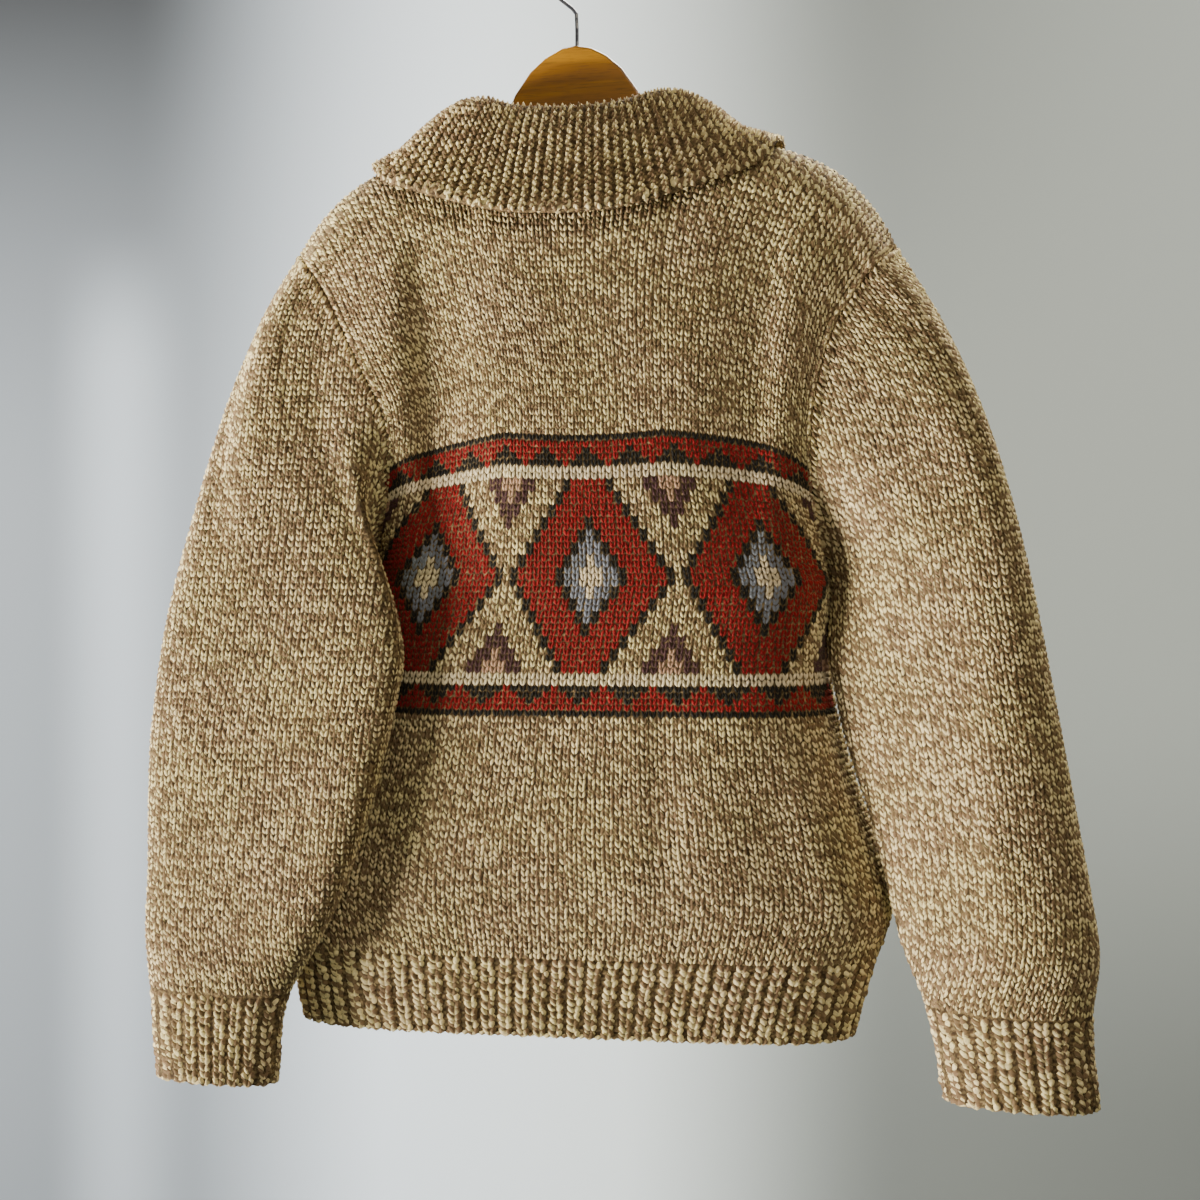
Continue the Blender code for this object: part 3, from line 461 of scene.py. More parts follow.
LEFT_SECTIONS = Table(
    "z",
    (
        SleeveSection(-0.560, -0.2120, -0.066, 0.0925, 0.016, 0.026, -3, 0.00, 1.0),
        SleeveSection(-0.610, -0.2205, -0.066, 0.0905, 0.016, 0.026, -4, 0.00, 1.0),
        SleeveSection(-0.660, -0.2290, -0.064, 0.0850, 0.016, 0.026, -5, 0.00, 1.0),
        SleeveSection(-0.710, -0.2385, -0.061, 0.0775, 0.016, 0.026, -6, 0.00, 1.0),
        SleeveSection(-0.755, -0.2510, -0.058, 0.0680, 0.016, 0.025, -6, 0.00, 0.8),
        SleeveSection(-0.798, -0.2630, -0.055, 0.0540, 0.016, 0.023, -5, 0.00, 0.0),
        SleeveSection(-0.863, -0.2650, -0.054, 0.0465, 0.016, 0.021, -5, 0.00, 0.0),
    ),
)
RIGHT_SECTIONS = Table(
    "z",
    (
        SleeveSection(-0.560, 0.2675, -0.030, 0.0745, 0.045, 0.040, 0, 0.45, 1.0),
        SleeveSection(-0.610, 0.2775, -0.031, 0.0735, 0.045, 0.040, 0, 0.35, 1.0),
        SleeveSection(-0.660, 0.2900, -0.032, 0.0700, 0.043, 0.038, -1, 0.20, 1.0),
        SleeveSection(-0.710, 0.3005, -0.033, 0.0685, 0.040, 0.035, -3, 0.20, 0.8),
        SleeveSection(-0.755, 0.3090, -0.034, 0.0660, 0.035, 0.032, -5, 0.20, 0.5),
        SleeveSection(-0.796, 0.3150, -0.034, 0.0560, 0.028, 0.027, -6, 0.10, 0.0),
        SleeveSection(-0.861, 0.3240, -0.034, 0.0520, 0.022, 0.022, -6, 0.00, 0.0),
    ),
)
LEFT_START = Table(
    "turn",
    (
        SleeveStart(0, 0.48, 0.25, 0.84),
        SleeveStart(50, 0.78, 0.12, 0.60),
        SleeveStart(90, 0.88, 0.05, 0.48),
        SleeveStart(130, 0.74, 0.32, 0.45),
        SleeveStart(160, 0.88, 0.27, 0.35),
        SleeveStart(180, 0.90, 0.15, 0.45),
        SleeveStart(230, 0.95, -0.05, 0.35),
        SleeveStart(290, 0.90, -0.20, 0.45),
        SleeveStart(360, 0.48, 0.25, 0.84),
    ),
)
RIGHT_START = Table(
    "turn",
    (
        SleeveStart(0, 0.55, 0.00, 0.83),
        SleeveStart(50, 0.72, 0.25, 0.66),
        SleeveStart(90, 0.85, 0.12, 0.48),
        SleeveStart(130, 0.86, 0.16, 0.42),
        SleeveStart(160, 0.89, 0.16, 0.35),
        SleeveStart(180, 0.10, 0.10, 1.00),
        SleeveStart(230, 0.95, -0.05, 0.25),
        SleeveStart(290, 0.85, -0.15, 0.55),
        SleeveStart(360, 0.55, 0.00, 0.83),
    ),
)


@dataclass(frozen=True)
class Arm:
    """The form of one sleeve: a tube from the armhole's seam down to the cuff."""

    side: Side
    sections: Table
    start: Table
    twist: float  # degrees that the underarm seam is turned behind the sleeve
    outer_power: float  # of the back's outer quarter: 1 is an oval and less is boxy
    inner_power: float
    torso: Torso = field(default_factory=Torso)
    columns: int = 192
    cap_rows: int = 48
    ring_rows: int = 72
    plain_power: float = 0.85
    seam_powers: tuple[float, float] = (1.15, 1.7)  # how the seam's points gather at its ends
    arrival_step: float = 0.02  # down the first ring, for the way the cap meets it

    @property
    def cuff_top_z(self) -> float:
        """The height where the ribbed cuff starts."""
        return self.sections.rows[-2].z

    @property
    def cuff_end_z(self) -> float:
        """The height of the cuff's lower edge."""
        return self.sections.rows[-1].z

    def ring(self, z: float, angles: np.ndarray) -> np.ndarray:
        """A level ring. Angle 0 is its outer edge and a quarter turn faces the back.

        Args:
            z: The ring's height.
            angles: Where on it to read points.

        Returns:
            One point for each angle.
        """
        value = {c: float(self.sections.read(c, z)) for c in SleeveSection._fields[1:]}
        turn = math.radians(value["turn"])
        cosine, sine = np.cos(angles), np.sin(angles)
        own = np.where(cosine > 0, self.outer_power, self.inner_power)
        slack = np.where(sine > 0, value["slack"], 0.0)
        power = self.plain_power + (own - self.plain_power) * slack
        high = np.sign(sine) * np.abs(sine) ** power
        shift = value["crest"] * np.maximum(high, 0)
        wide = np.sign(cosine) * np.abs(cosine) ** power
        wide = (wide * np.where(cosine > 0, 1 - shift, 1) + shift) * value["half_width"]
        deep = high * np.where(sine > 0, value["back_depth"], value["front_depth"])
        out = self.side.value
        x = value["centre_x"] + out * wide * math.cos(turn) + deep * math.sin(turn)
        y = value["centre_y"] + out * wide * math.sin(turn) - deep * math.cos(turn)
        return np.stack([x, y, np.full_like(x, z)], axis=-1)

    def armhole(self, turns: np.ndarray) -> np.ndarray:
        """Points of the armhole's seam: turn 0 at the shoulder tip, then down the back.

        Args:
            turns: Where on the seam, a full turn round it.

        Returns:
            One point for each turn.
        """
        points = []
        top, low = self.seam_powers
        for turn in turns:
            on_back = turn <= math.pi
            down = turn / math.pi if on_back else 2 - turn / math.pi
            level = 1 - (1 - (1 - down) ** top) ** low
            facing = Facing.BACK if on_back else Facing.FRONT
            edge = np.array([float(self.side.value)])
            points.append(self.torso.point(facing, edge, level)[0])
        return np.array(points)

    def surface(self) -> Skin:
        """The whole sleeve from the armhole to the cuff's end.

        Returns:
            Points and outward normals, a closed ring of columns to each row.
        """
        turns = np.linspace(0, 2 * math.pi, self.columns, endpoint=False)
        angles = turns + math.radians(self.twist)
        loop = self.armhole(turns)
        first_z = self.sections.rows[0].z
        level = self.ring(first_z, angles)
        below = self.ring(first_z - self.arrival_step, angles)
        reach = np.linalg.norm(level - loop, axis=1, keepdims=True)
        way = {c: self.start.read(c, np.degrees(turns)) for c in SleeveStart._fields[1:]}
        out = self.side.value
        leave = np.stack([out * way["outward"], -way["backward"], -way["downward"]], axis=1)
        t = np.linspace(0, 1, self.cap_rows + 1)[:, None, None]
        cap = hermite(t, loop, unit(leave) * reach, level, unit(below - level) * reach)
        zs = np.linspace(first_z, self.cuff_end_z, self.ring_rows + 1)[1:]
        grid = np.concatenate([cap, np.array([self.ring(z, angles) for z in zs])])
        down = np.gradient(grid, axis=0)
        round_about = np.roll(grid, -1, axis=1) - np.roll(grid, 1, axis=1)
        return grid, unit(np.cross(round_about, down)) * out


ARMS = (
    Arm(Side.LEFT, LEFT_SECTIONS, LEFT_START, twist=56, outer_power=0.50, inner_power=0.40),
    Arm(Side.RIGHT, RIGHT_SECTIONS, RIGHT_START, twist=0, outer_power=0.62, inner_power=1.60),
)


# ---------------------------------------------------------------- the collar's form
class CollarStation(NamedTuple):
    """The collar's free edge and roll at a share of the neck seam from mid back."""

    share: float
    edge_x: float
    edge_y: float
    edge_z: float
    stand: float
    lean_x: float
    lean_y: float
    lean_z: float


COLLAR_STATIONS = Table(
    "share",
    (
        CollarStation(0.00, 0.000, -0.0790, -0.2300, 0.034, 0.00, 0.05, 1.00),
        CollarStation(0.12, 0.050, -0.0770, -0.2255, 0.036, -0.05, 0.05, 1.00),
        CollarStation(0.21, 0.100, -0.0670, -0.2100, 0.042, -0.10, 0.05, 1.00),
        CollarStation(0.29, 0.141, -0.0440, -0.1915, 0.034, -0.05, 0.00, 1.00),
        CollarStation(0.35, 0.153, 0.0040, -0.1775, 0.023, 0.00, 0.05, 1.00),
        CollarStation(0.43, 0.146, 0.0420, -0.1980, 0.026, -0.10, 0.40, 0.90),
        CollarStation(0.58, 0.120, 0.0620, -0.2430, 0.030, -0.20, 0.80, 0.50),
        CollarStation(0.78, 0.080, 0.0740, -0.2920, 0.026, -0.20, 0.90, 0.20),
        CollarStation(1.00, 0.036, 0.0760, -0.3320, 0.012, 0.00, 1.00, 0.00),
    ),
)


@dataclass(frozen=True)
class ShawlForm:
    """The form of the turned-down collar, laid over the body's panels."""

    stations: Table = COLLAR_STATIONS
    torso: Torso = field(default_factory=Torso)
    wall: float = 0.0060
    body_wall: float = 0.0042
    lift: float = 0.0030
    clearance: float = 0.0042
    ridge_pitch: float = 0.0070
    width_steps: int = 36
    back_spots: int = 9  # of the neck seam, from mid back to the shoulder
    front_spots: int = 13
    back_rise: Place = (0.0, -0.15, 1.0)
    level_rise: float = 0.45  # the level where the front's seam has the collar lie level
    start_lean: float = 1.15  # the roll's two handles, as shares of the stand
    turn_lean: float = 0.95
    turn_reach: float = 0.42  # the second handle's place from the seam to the edge
    fall_width: float = 0.75  # where across the collar the ridges are at even steps
    trial_shares: int = 121
    panel_start: float = -0.2  # the level from which the panels under the collar are laid
    panel_step: float = 0.012
    panel_columns: int = 31

    def neck_seam(self) -> tuple[np.ndarray, np.ndarray]:
        """The right half of the neck's edge from mid back to the V, and how the collar rises."""
        torso = self.torso
        points, rise = [], []
        for x in np.linspace(0, torso.neck_half_width, self.back_spots):
            angle = torso.angle_at(Facing.BACK, x, 1.0)
            points.append(torso.point(Facing.BACK, np.sin([angle]), 1.0)[0])
            rise.append(self.back_rise)
        for level in np.linspace(1.0, torso.v_level, self.front_spots)[1:]:
            angle = torso.angle_at(Facing.FRONT, torso.front_edge_x(level), level)
            points.append(torso.point(Facing.FRONT, np.sin([angle]), level)[0])
            rise.append((0.0, 1.0 - level, level - self.level_rise))
        return np.array(points), unit(np.array(rise))

    def sections(self, shares: np.ndarray, widths: np.ndarray) -> np.ndarray:
        """Cross-sections of the right half: each a roll from the neck seam to the free edge.

        Args:
            shares: Where along the neck seam.
            widths: Where across the collar, 0 at the seam and 1 at the edge.

        Returns:
            Points by share and width.
        """
        points, rise = self.neck_seam()
        run = run_lengths(points)
        run /= run[-1]
        seam, up = along(points, run, shares), unit(along(rise, run, shares))
        value = {c: self.stations.read(c, shares) for c in CollarStation._fields[1:]}
        edge, lean = (
            np.stack([value[f"{name}_{axis}"] for axis in "xyz"], axis=1)
            for name in ("edge", "lean")
        )
        lift = unit(lean) * value["stand"][:, None]
        start = seam + up * (self.body_wall / 2 + self.lift)
        over = seam + (edge - seam) * self.turn_reach + lift * self.turn_lean
        rising = start + lift * self.start_lean
        t = np.asarray(widths, float)[None, :, None]
        start, rising, over, edge = (p[:, None] for p in (start, rising, over, edge))
        return (
            (1 - t) ** 3 * start
            + 3 * (1 - t) ** 2 * t * rising
            + 3 * (1 - t) * t**2 * over
            + t**3 * edge
        )

    def ridge_shares(self) -> np.ndarray:
        """Shares of the neck seam that put the garter ridges at even steps across the fall."""
        trial = np.linspace(0, 1, self.trial_shares)
        run = run_lengths(self.sections(trial, [self.fall_width])[:, 0])
        ridges = round(run[-1] / self.ridge_pitch)
        return np.interp(np.linspace(0, run[-1], 2 * ridges + 1), run, trial)

    def panels(self) -> list[Skin]:
        """The body's panels that the collar lies on: points and normals by row."""
        torso = self.torso
        made = []
        levels = torso.levels_at_steps(Facing.BACK, self.panel_start, 1.0, self.panel_step)
        for facing, outer in ((Facing.BACK, -1), (Facing.FRONT, -1), (Facing.FRONT, 1)):
            rows = []
            for level in levels:
                inner = -outer * HALF_PI
                if facing is Facing.FRONT:
                    inner = torso.angle_at(facing, outer * torso.front_edge_x(level), level)
                angles = np.linspace(outer * HALF_PI, inner, self.panel_columns)
                rows.append(torso.skin(facing, angles, level))
            points, normals = zip(*rows)
            made.append((np.array(points), np.array(normals)))
        return made

    def lay_over(self, grid: np.ndarray) -> np.ndarray:
        """Pushes a grid's points out until they clear the panels under them.

        Args:
            grid: The collar's points by row and column.

        Returns:
            The points where they come to lie.
        """
        clear = (self.body_wall + self.wall) / 2 + self.clearance
        trees = []
        for panel, normals in self.panels():
            wide = panel.shape[1]
            quads = [
                (i * wide + j, i * wide + j + 1, (i + 1) * wide + j + 1, (i + 1) * wide + j)
                for i in range(panel.shape[0] - 1)
                for j in range(wide - 1)
            ]
            verts = [tuple(p) for p in panel.reshape(-1, 3)]
            trees.append((BVHTree.FromPolygons(verts, quads), normals.reshape(-1, 3), quads))
        laid = grid.reshape(-1, 3).copy()
        for point in laid:
            near = [(tree.find_nearest(tuple(point)), n, quads) for tree, n, quads in trees]
            (spot, _, index, _), normals, quads = min(near, key=lambda found: found[0][3])
            out = unit(normals[list(quads[index])].mean(axis=0))
            point += out * max(0.0, clear - float(np.dot(point - np.array(spot), out)))
        return laid.reshape(grid.shape)

    def surface(self) -> Skin:
        """The whole collar.

        Returns:
            Points and normals on the side that shows, by width step and then round the neck,
            with two steps to each garter ridge.
        """
        half = self.sections(self.ridge_shares(), np.linspace(0, 1, self.width_steps + 1))
        grid = np.concatenate([half[:0:-1] * [-1, 1, 1], half]).transpose(1, 0, 2)
        grid = self.lay_over(grid)
        down, round_about = np.gradient(grid, axis=0), np.gradient(grid, axis=1)
        return grid, -unit(np.cross(round_about, down))


# ---------------------------------------------------------------- stitches
SEAM_STEP = 0.0047  # from one leaf of a seam to the next
CAST_ON_STEP = 0.0062
CAST_ON_DROP = 0.0012  # how far the cast-on loops reach below the rib
CAST_ON_LEAN = 0.5  # how much they face down
LEAST_STITCH = 0.5  # the narrowest stitch that is knitted, as a share of a whole one


@dataclass(frozen=True)
class Gauge:
    """The size of a stitch in the bulky yarn."""

    wale: float = 0.00635
    course: float = 0.0045
    rib_course: float = 0.0049


@dataclass
class Lattice:
    """The corners of the stitches of one knitted area."""

    points: np.ndarray  # by course and wale
    normals: np.ndarray
    keep: np.ndarray  # which stitches are there, by course and wale
    middle: int = 0  # the wale line that is counted as 0

    @staticmethod
    def whole(points: Sequence[np.ndarray], normals: Sequence[np.ndarray]) -> Lattice:
        """A lattice whose stitches are all there."""
        points = np.array(points)
        courses, wales = points.shape[0] - 1, points.shape[1] - 1
        return Lattice(points, np.array(normals), np.ones((courses, wales), bool))

    def turned(self) -> Lattice:
        """The same stitches with each course in the other order."""
        parts = (part[:, ::-1] for part in (self.points, self.normals, self.keep))
        return Lattice(*parts, middle=self.keep.shape[1])

    def beside(self, other: Lattice) -> Lattice:
        """These stitches and then another lattice's, which starts at their last wale line.

        Args:
            other: The lattice that follows.

        Returns:
            Both as one.
        """
        return Lattice(
            np.concatenate([self.points, other.points[:, 1:]], axis=1),
            np.concatenate([self.normals, other.normals[:, 1:]], axis=1),
            np.concatenate([self.keep, other.keep], axis=1),
            middle=self.keep.shape[1],
        )


@dataclass(frozen=True)
class Pattern:
    """A small shape that is repeated: x across it, y along it, z up from the cloth."""

    spots: np.ndarray
    faces: np.ndarray

    @staticmethod
    def scale(rings: int = 2, bluntness: float = 0.4) -> Pattern:
        """A leaf-shaped scale that lies on the cloth: a leg of a stitch.

        Args:
            rings: Rows of points between its two ends.
            bluntness: How bluntly it ends, less for blunter.

        Returns:
            The shape, one long and one wide to each side.
        """
        bm = bmesh.new()
        bmesh.ops.create_grid(bm, x_segments=2, y_segments=rings + 1, size=1.0)
        for vert in bm.verts:
            x, y = vert.co.x, (vert.co.y + 1) / 2
            at_an_end = min(y, 1 - y) < 0.01
            full = 0.0 if at_an_end else math.sin(math.pi * y) ** bluntness
            vert.co = (x * full, y, (1 - abs(x)) * full)
        bmesh.ops.remove_doubles(bm, verts=bm.verts, dist=0.001)
        bmesh.ops.triangulate(bm, faces=bm.faces)
        bm.verts.index_update()
        spots = np.array([v.co for v in bm.verts], float)
        faces = np.array([[v.index for v in f.verts] for f in bm.faces], int)
        bm.free()
        return Pattern(spots, faces)


@dataclass(frozen=True)
class Leg:
    """One leg of a stitch. Places are shares of the stitch's width and height, and heights are
    metres above the middle of the cloth."""

    foot: tuple[float, float]
    tip: tuple[float, float]
    half_width: tuple[float, float]
    base: float
    crest: float
    bow: tuple[float, float] = (0.0, 0.0)
    length: float = 0.0070

    def mirrored(self) -> Leg:
        """The same leg on the other side of the stitch."""
        (foot_x, foot_y), (tip_x, tip_y), (bow_x, bow_y) = self.foot, self.tip, self.bow
        return replace(
            self, foot=(1 - foot_x, foot_y), tip=(1 - tip_x, tip_y), bow=(-bow_x, bow_y)
        )


class KnitMesh:
    """Many small shapes laid on a lattice and joined in one mesh."""

    drift = 0.2  # how fast the yarn's twist shifts from one stitch of a course to the next
    twist_spread = 0.24
    place_spread = 0.04  # how unevenly the legs lie, as shares of a stitch
    width_spread = 0.07
    height_spread = 0.10
    flat_margin = 0.001  # kept free round the edge of the flat map

    def __init__(self, name: str, seed: int) -> None:
        """Starts an empty mesh.

        Args:
            name: The piece's name.
            seed: For the unevenness of its stitches.
        """
        self.name = name
        self.random = np.random.default_rng(seed)
        self.points: list[np.ndarray] = []
        self.strands: list[np.ndarray] = []
        self.flats: list[np.ndarray] = []
        self.dyes: list[np.ndarray] = []
        self.faces: list[np.ndarray] = []
        self.count = 0

    def add(
        self,
        points: np.ndarray,
        faces: np.ndarray,
        strands: np.ndarray,
        flats: np.ndarray,
        dyes: np.ndarray,
    ) -> None:
        """Adds copies of one shape.

        Args:
            points: Each copy's points.
            faces: The triangles of one copy.
            strands: At each point: across the yarn, metres along it, and its phase.
            flats: Where each point lies on the flat piece, 0 to 1 both ways.
            dyes: A colour for each copy, with how much of it shows.
        """
        copies, size = points.shape[:2]
        offsets = self.count + size * np.arange(copies)
        self.faces.append((faces[None] + offsets[:, None, None]).reshape(-1, 3))
        self.points.append(points.reshape(-1, 3))
        self.strands.append(strands.reshape(-1, 3))
        self.flats.append(flats.reshape(-1, 2))
        self.dyes.append(np.repeat(dyes, size, axis=0))
        self.count += copies * size

    def lay(
        self,
        lattice: Lattice,
        legs: Sequence[Leg],
        pattern: Pattern,
        dyes: np.ndarray | None = None,
        unevenness: float = 1.0,
    ) -> None:
        """Lays legs in every stitch of a lattice.

        Args:
            lattice: The stitches' corners.
            legs: The legs of one stitch.
            pattern: The legs' shape.
            dyes: A colour by course and wale, or none for plain yarn.
            unevenness: How much the legs differ, 1 for ordinary hand knitting.
        """
        rows, cols = np.nonzero(lattice.keep)
        p, n = lattice.points, lattice.normals
        corners = [p[rows, cols], p[rows, cols + 1], p[rows + 1, cols], p[rows + 1, cols + 1]]
        out = unit(n[rows, cols] + n[rows, cols + 1] + n[rows + 1, cols] + n[rows + 1, cols + 1])
        sides = np.cross(corners[1] - corners[0], corners[2] - corners[0])
        outward = float(np.sum(sides * out)) > 0
        size = len(rows)
        dyed = np.zeros((size, 4)) if dyes is None else dyes[rows, cols]
        courses, wales = lattice.keep.shape
        drift = self.random.uniform(-self.drift, self.drift, courses)[rows] * cols
        drift += self.random.random(courses)[rows]
        x, y, z = pattern.spots.T
        bulge = np.sin(math.pi * y)
        for leg in legs:
            jitter = self.random.normal(0, self.place_spread * unevenness, (size, 2, 1))
            wide = 1 + self.random.normal(0, self.width_spread * unevenness, (size, 1))
            high = 1 + self.random.normal(0, self.height_spread * unevenness, (size, 1))
            a = leg.foot[0] + (leg.tip[0] - leg.foot[0]) * y + leg.bow[0] * bulge
            b = leg.foot[1] + (leg.tip[1] - leg.foot[1]) * y + leg.bow[1] * bulge
            a = a + jitter[:, 0] + x * leg.half_width[0] * wide
            b = b + jitter[:, 1] + x * leg.half_width[1] * wide
            height = leg.base + z * (leg.crest - leg.base) * high
            points = self.place(corners, out, a, b, height)
            strands = np.empty(points.shape)
            strands[..., 0] = x
            strands[..., 1] = y * leg.length
            strands[..., 2] = (drift + self.random.normal(0, self.twist_spread, size))[:, None]
            flats = [(cols[:, None] + a) / wales, (rows[:, None] + b) / courses]
            flats = np.clip(np.stack(flats, axis=-1), self.flat_margin, 1 - self.flat_margin)
            upright = leg.half_width[1] <= 0
            faces = pattern.faces if upright is outward else pattern.faces[:, ::-1]
            self.add(points, faces, strands, flats, dyed)

    @staticmethod
    def place(
        corners: list[np.ndarray],
        out: np.ndarray,
        a: np.ndarray,
        b: np.ndarray,
        height: np.ndarray,
    ) -> np.ndarray:
        """Points inside stitches, from shares of their width and height.

        Args:
            corners: The stitches' four corners, low ones first.
            out: The way out of the cloth.
            a: Shares of the width.
            b: Shares of the height.
            height: Metres above the cloth's middle.

        Returns:
            Points by stitch and by point of the shape.
        """
        a, b = a[..., None], b[..., None]
        low = corners[0][:, None] * (1 - a) + corners[1][:, None] * a
        top = corners[2][:, None] * (1 - a) + corners[3][:, None] * a
        return low * (1 - b) + top * b + out[:, None] * height[..., None]

    def build(self, material: bpy.types.Material) -> bpy.types.Object:
        """Makes the joined object.

        Args:
            material: The yarn.

        Returns:
            The piece.
        """
        mesh = bpy.data.meshes.new(self.name)
        faces = np.concatenate(self.faces)
        mesh.from_pydata(np.concatenate(self.points), [], faces)
        mesh.shade_smooth()
        strand = mesh.attributes.new("strand", "FLOAT_VECTOR", "POINT")
        strand.data.foreach_set("vector", np.concatenate(self.strands).astype(np.float32).ravel())
        dye = mesh.attributes.new("dye", "FLOAT_COLOR", "POINT")
        dye.data.foreach_set("color", np.concatenate(self.dyes).astype(np.float32).ravel())
        flat = mesh.uv_layers.new(name=FLAT_MAP)
        corner_flats = np.concatenate(self.flats)[faces.ravel()]
        flat.uv.foreach_set("vector", corner_flats.astype(np.float32).ravel())
        log.info("%s: %d triangles", self.name, len(faces))
        return finished_object(self.name, mesh, material)


LEAF = Pattern.scale()
RIB_LEAF = Pattern.scale(rings=3)
STOCKING_LEG = Leg(
    foot=(0.43, -0.36), tip=(0.11, 1.12), half_width=(0.265, 0.0),
    base=0.0009, crest=0.0024, bow=(0.01, 0.0),
)
STOCKING = (STOCKING_LEG, STOCKING_LEG.mirrored())
RIB_LEG = Leg(
    foot=(0.45, -0.46), tip=(0.22, 1.14), half_width=(0.255, 0.0),
    base=0.0008, crest=0.0036, length=0.0080,
)
RIB = (RIB_LEG, RIB_LEG.mirrored())
BAND_LEG = replace(RIB_LEG, base=0.0002, crest=0.0021)
BAND_RIB = (BAND_LEG, BAND_LEG.mirrored())
GARTER_LEG = Leg(
    foot=(0.50, -0.26), tip=(0.30, 0.72), half_width=(0.27, 0.0),
    base=0.0010, crest=0.0044, bow=(-0.05, 0.0), length=0.0054,
)
GARTER = (GARTER_LEG, replace(GARTER_LEG, foot=(0.50, 0.24), tip=(0.70, 1.22), bow=(0.05, 0.0)))
SEAM_LEAF = Leg(
    foot=(0.20, -0.50), tip=(0.80, 1.20), half_width=(0.34, 0.0), base=0.0008, crest=0.0036
)
SEAM_CROSS = Leg(
    foot=(-0.10, -0.10), tip=(1.04, 0.90), half_width=(0.0, 0.44),
    base=0.0008, crest=0.0038, bow=(0.0, 0.05), length=0.0072,
)
EDGE_LOOP = Leg(
    foot=(0.02, 0.55), tip=(1.02, 0.45), half_width=(0.0, 0.62),
    base=0.0004, crest=0.0030, length=0.0060,
)


def finished_object(
    name: str, mesh: bpy.types.Mesh, material: bpy.types.Material
) -> bpy.types.Object:
    """An object at the origin that wears one material and rides on the garment's body.

    Args:
        name: The piece's name.
        mesh: Its shape.
        material: What it is made of.

    Returns:
        The object.
    """
    mesh.materials.clear()
    mesh.materials.append(material)
    made = bpy.data.objects.new(name, mesh)
    bpy.context.scene.collection.objects.link(made)
    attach(made, BODY)
    return made


def knitted(courses: Sequence[Skin], spacings: np.ndarray, count: int) -> Lattice:
    """Stitches at even steps along courses, from the start of each to its end.

    Args:
        courses: Points and normals along each course.
        spacings: The width of a stitch in each course.
        count: How many wales to lay, those past a course's end included.

    Returns:
        The lattice, without the stitches that are too narrow to be knitted.
    """
    points, normals, distances = [], [], []
    for (line, ways), spacing in zip(courses, spacings):
        run = run_lengths(line)
        at = np.minimum(np.arange(count + 1) * spacing, run[-1])
        points.append(along(line, run, at))
        normals.append(unit(along(ways, run, at)))
        distances.append(at)
    wide = np.diff(np.array(distances), axis=1) > LEAST_STITCH * spacings[:, None]
    return Lattice(np.array(points), np.array(normals), wide[:-1] & wide[1:])


def strip_lattice(
    lines: Sequence[np.ndarray], ways: np.ndarray, step: float, closed: bool = False
) -> Lattice:
    """A lattice one wale wide between two lines that run side by side.

    Args:
        lines: The points of the left line and of the right line.
        ways: The way out of the cloth at each pair of points.
        step: How far apart its courses lie along the lines.
        closed: Whether the lines end where they start.

    Returns:
        The lattice.
    """
    if closed:
        lines = [np.vstack([line, line[:1]]) for line in lines]
        ways = np.vstack([ways, ways[:1]])
    run = run_lengths((lines[0] + lines[1]) / 2)
    at = np.linspace(0, run[-1], max(2, round(run[-1] / step)) + 1)
    points = np.stack([along(line, run, at) for line in lines], axis=1)
    normals = np.repeat(unit(along(ways, run, at))[:, None], 2, axis=1)
    return Lattice.whole(points, normals)


def cast_on_lattice(
    high: np.ndarray, low: np.ndarray, ways: np.ndarray, closed: bool
) -> Lattice:
    """The rounded loops of a cast-on edge, which reach a little below it and face down.

    Args:
        high: The line where the loops start.
        low: The cloth's lower edge.
        ways: The way out of the cloth along the edge.
        closed: Whether the lines end where they start.

    Returns:
        The lattice, one loop wide.
    """
    drop, lean = np.array([0.0, 0.0, CAST_ON_DROP]), np.array([0.0, 0.0, CAST_ON_LEAN])
    return strip_lattice((high, low - drop), ways - lean, CAST_ON_STEP, closed)


# ---------------------------------------------------------------- cloth sheets
def sheet_object(
    name: str,
    grid: np.ndarray,
    thickness: float,
    materials: tuple[bpy.types.Material, bpy.types.Material],
    ring: bool = False,
) -> bpy.types.Object:
    """A sheet of cloth through a grid of points, with its normals on the side that shows.

    Args:
        name: The piece's name.
        grid: Points by row and column, at the middle of the cloth.
        thickness: Of the cloth.
        materials: For the side that shows and for the other side.
        ring: Whether each row closes on itself.

    Returns:
        The object, with its thickness as a modifier.
    """
    if ring:
        grid = np.concatenate([grid, grid[:, :1]], axis=1)
    rows, cols = grid.shape[:2]
    bm = bmesh.new()
    bm.loops.layers.uv.new(FLAT_MAP)
    bmesh.ops.create_grid(
        bm, x_segments=cols - 1, y_segments=rows - 1, size=1.0, calc_uvs=True
    )
    bm.verts.ensure_lookup_table()
    for vert, spot in zip(bm.verts, grid.reshape(-1, 3)):
        vert.co = spot
    if ring:
        bmesh.ops.remove_doubles(bm, verts=bm.verts, dist=1e-6)
    mesh = bpy.data.meshes.new(name)
    bm.to_mesh(mesh)
    bm.free()
    mesh.shade_smooth()
    made = finished_object(name, mesh, materials[0])
    mesh.materials.append(materials[1])
    wall = made.modifiers.new("thickness", "SOLIDIFY")
    wall.thickness = thickness
    wall.offset = 0.0
    wall.material_offset = 1
    wall.material_offset_rim = 0
    return made


def declare(
    pieces: Sequence[bpy.types.Object],
    node: str,
) -> None:
    """Hides the plain solid that stands for a sheet of cloth and what is knitted on it.

    Args:
        pieces: Its stitches, ribs and seams; not used.
        node: The plain solid that they stand for.
    """
    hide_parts(node)


# ---------------------------------------------------------------- finishes
class Ramp(NamedTuple):
    """A smooth step, from its first value at low to its last value at high."""

    low: float
    high: float
    to: tuple[float, float] = (0.0, 1.0)


class Input(NamedTuple):
    """A socket of a node group."""

    name: str
    kind: str
    value: float | None = None


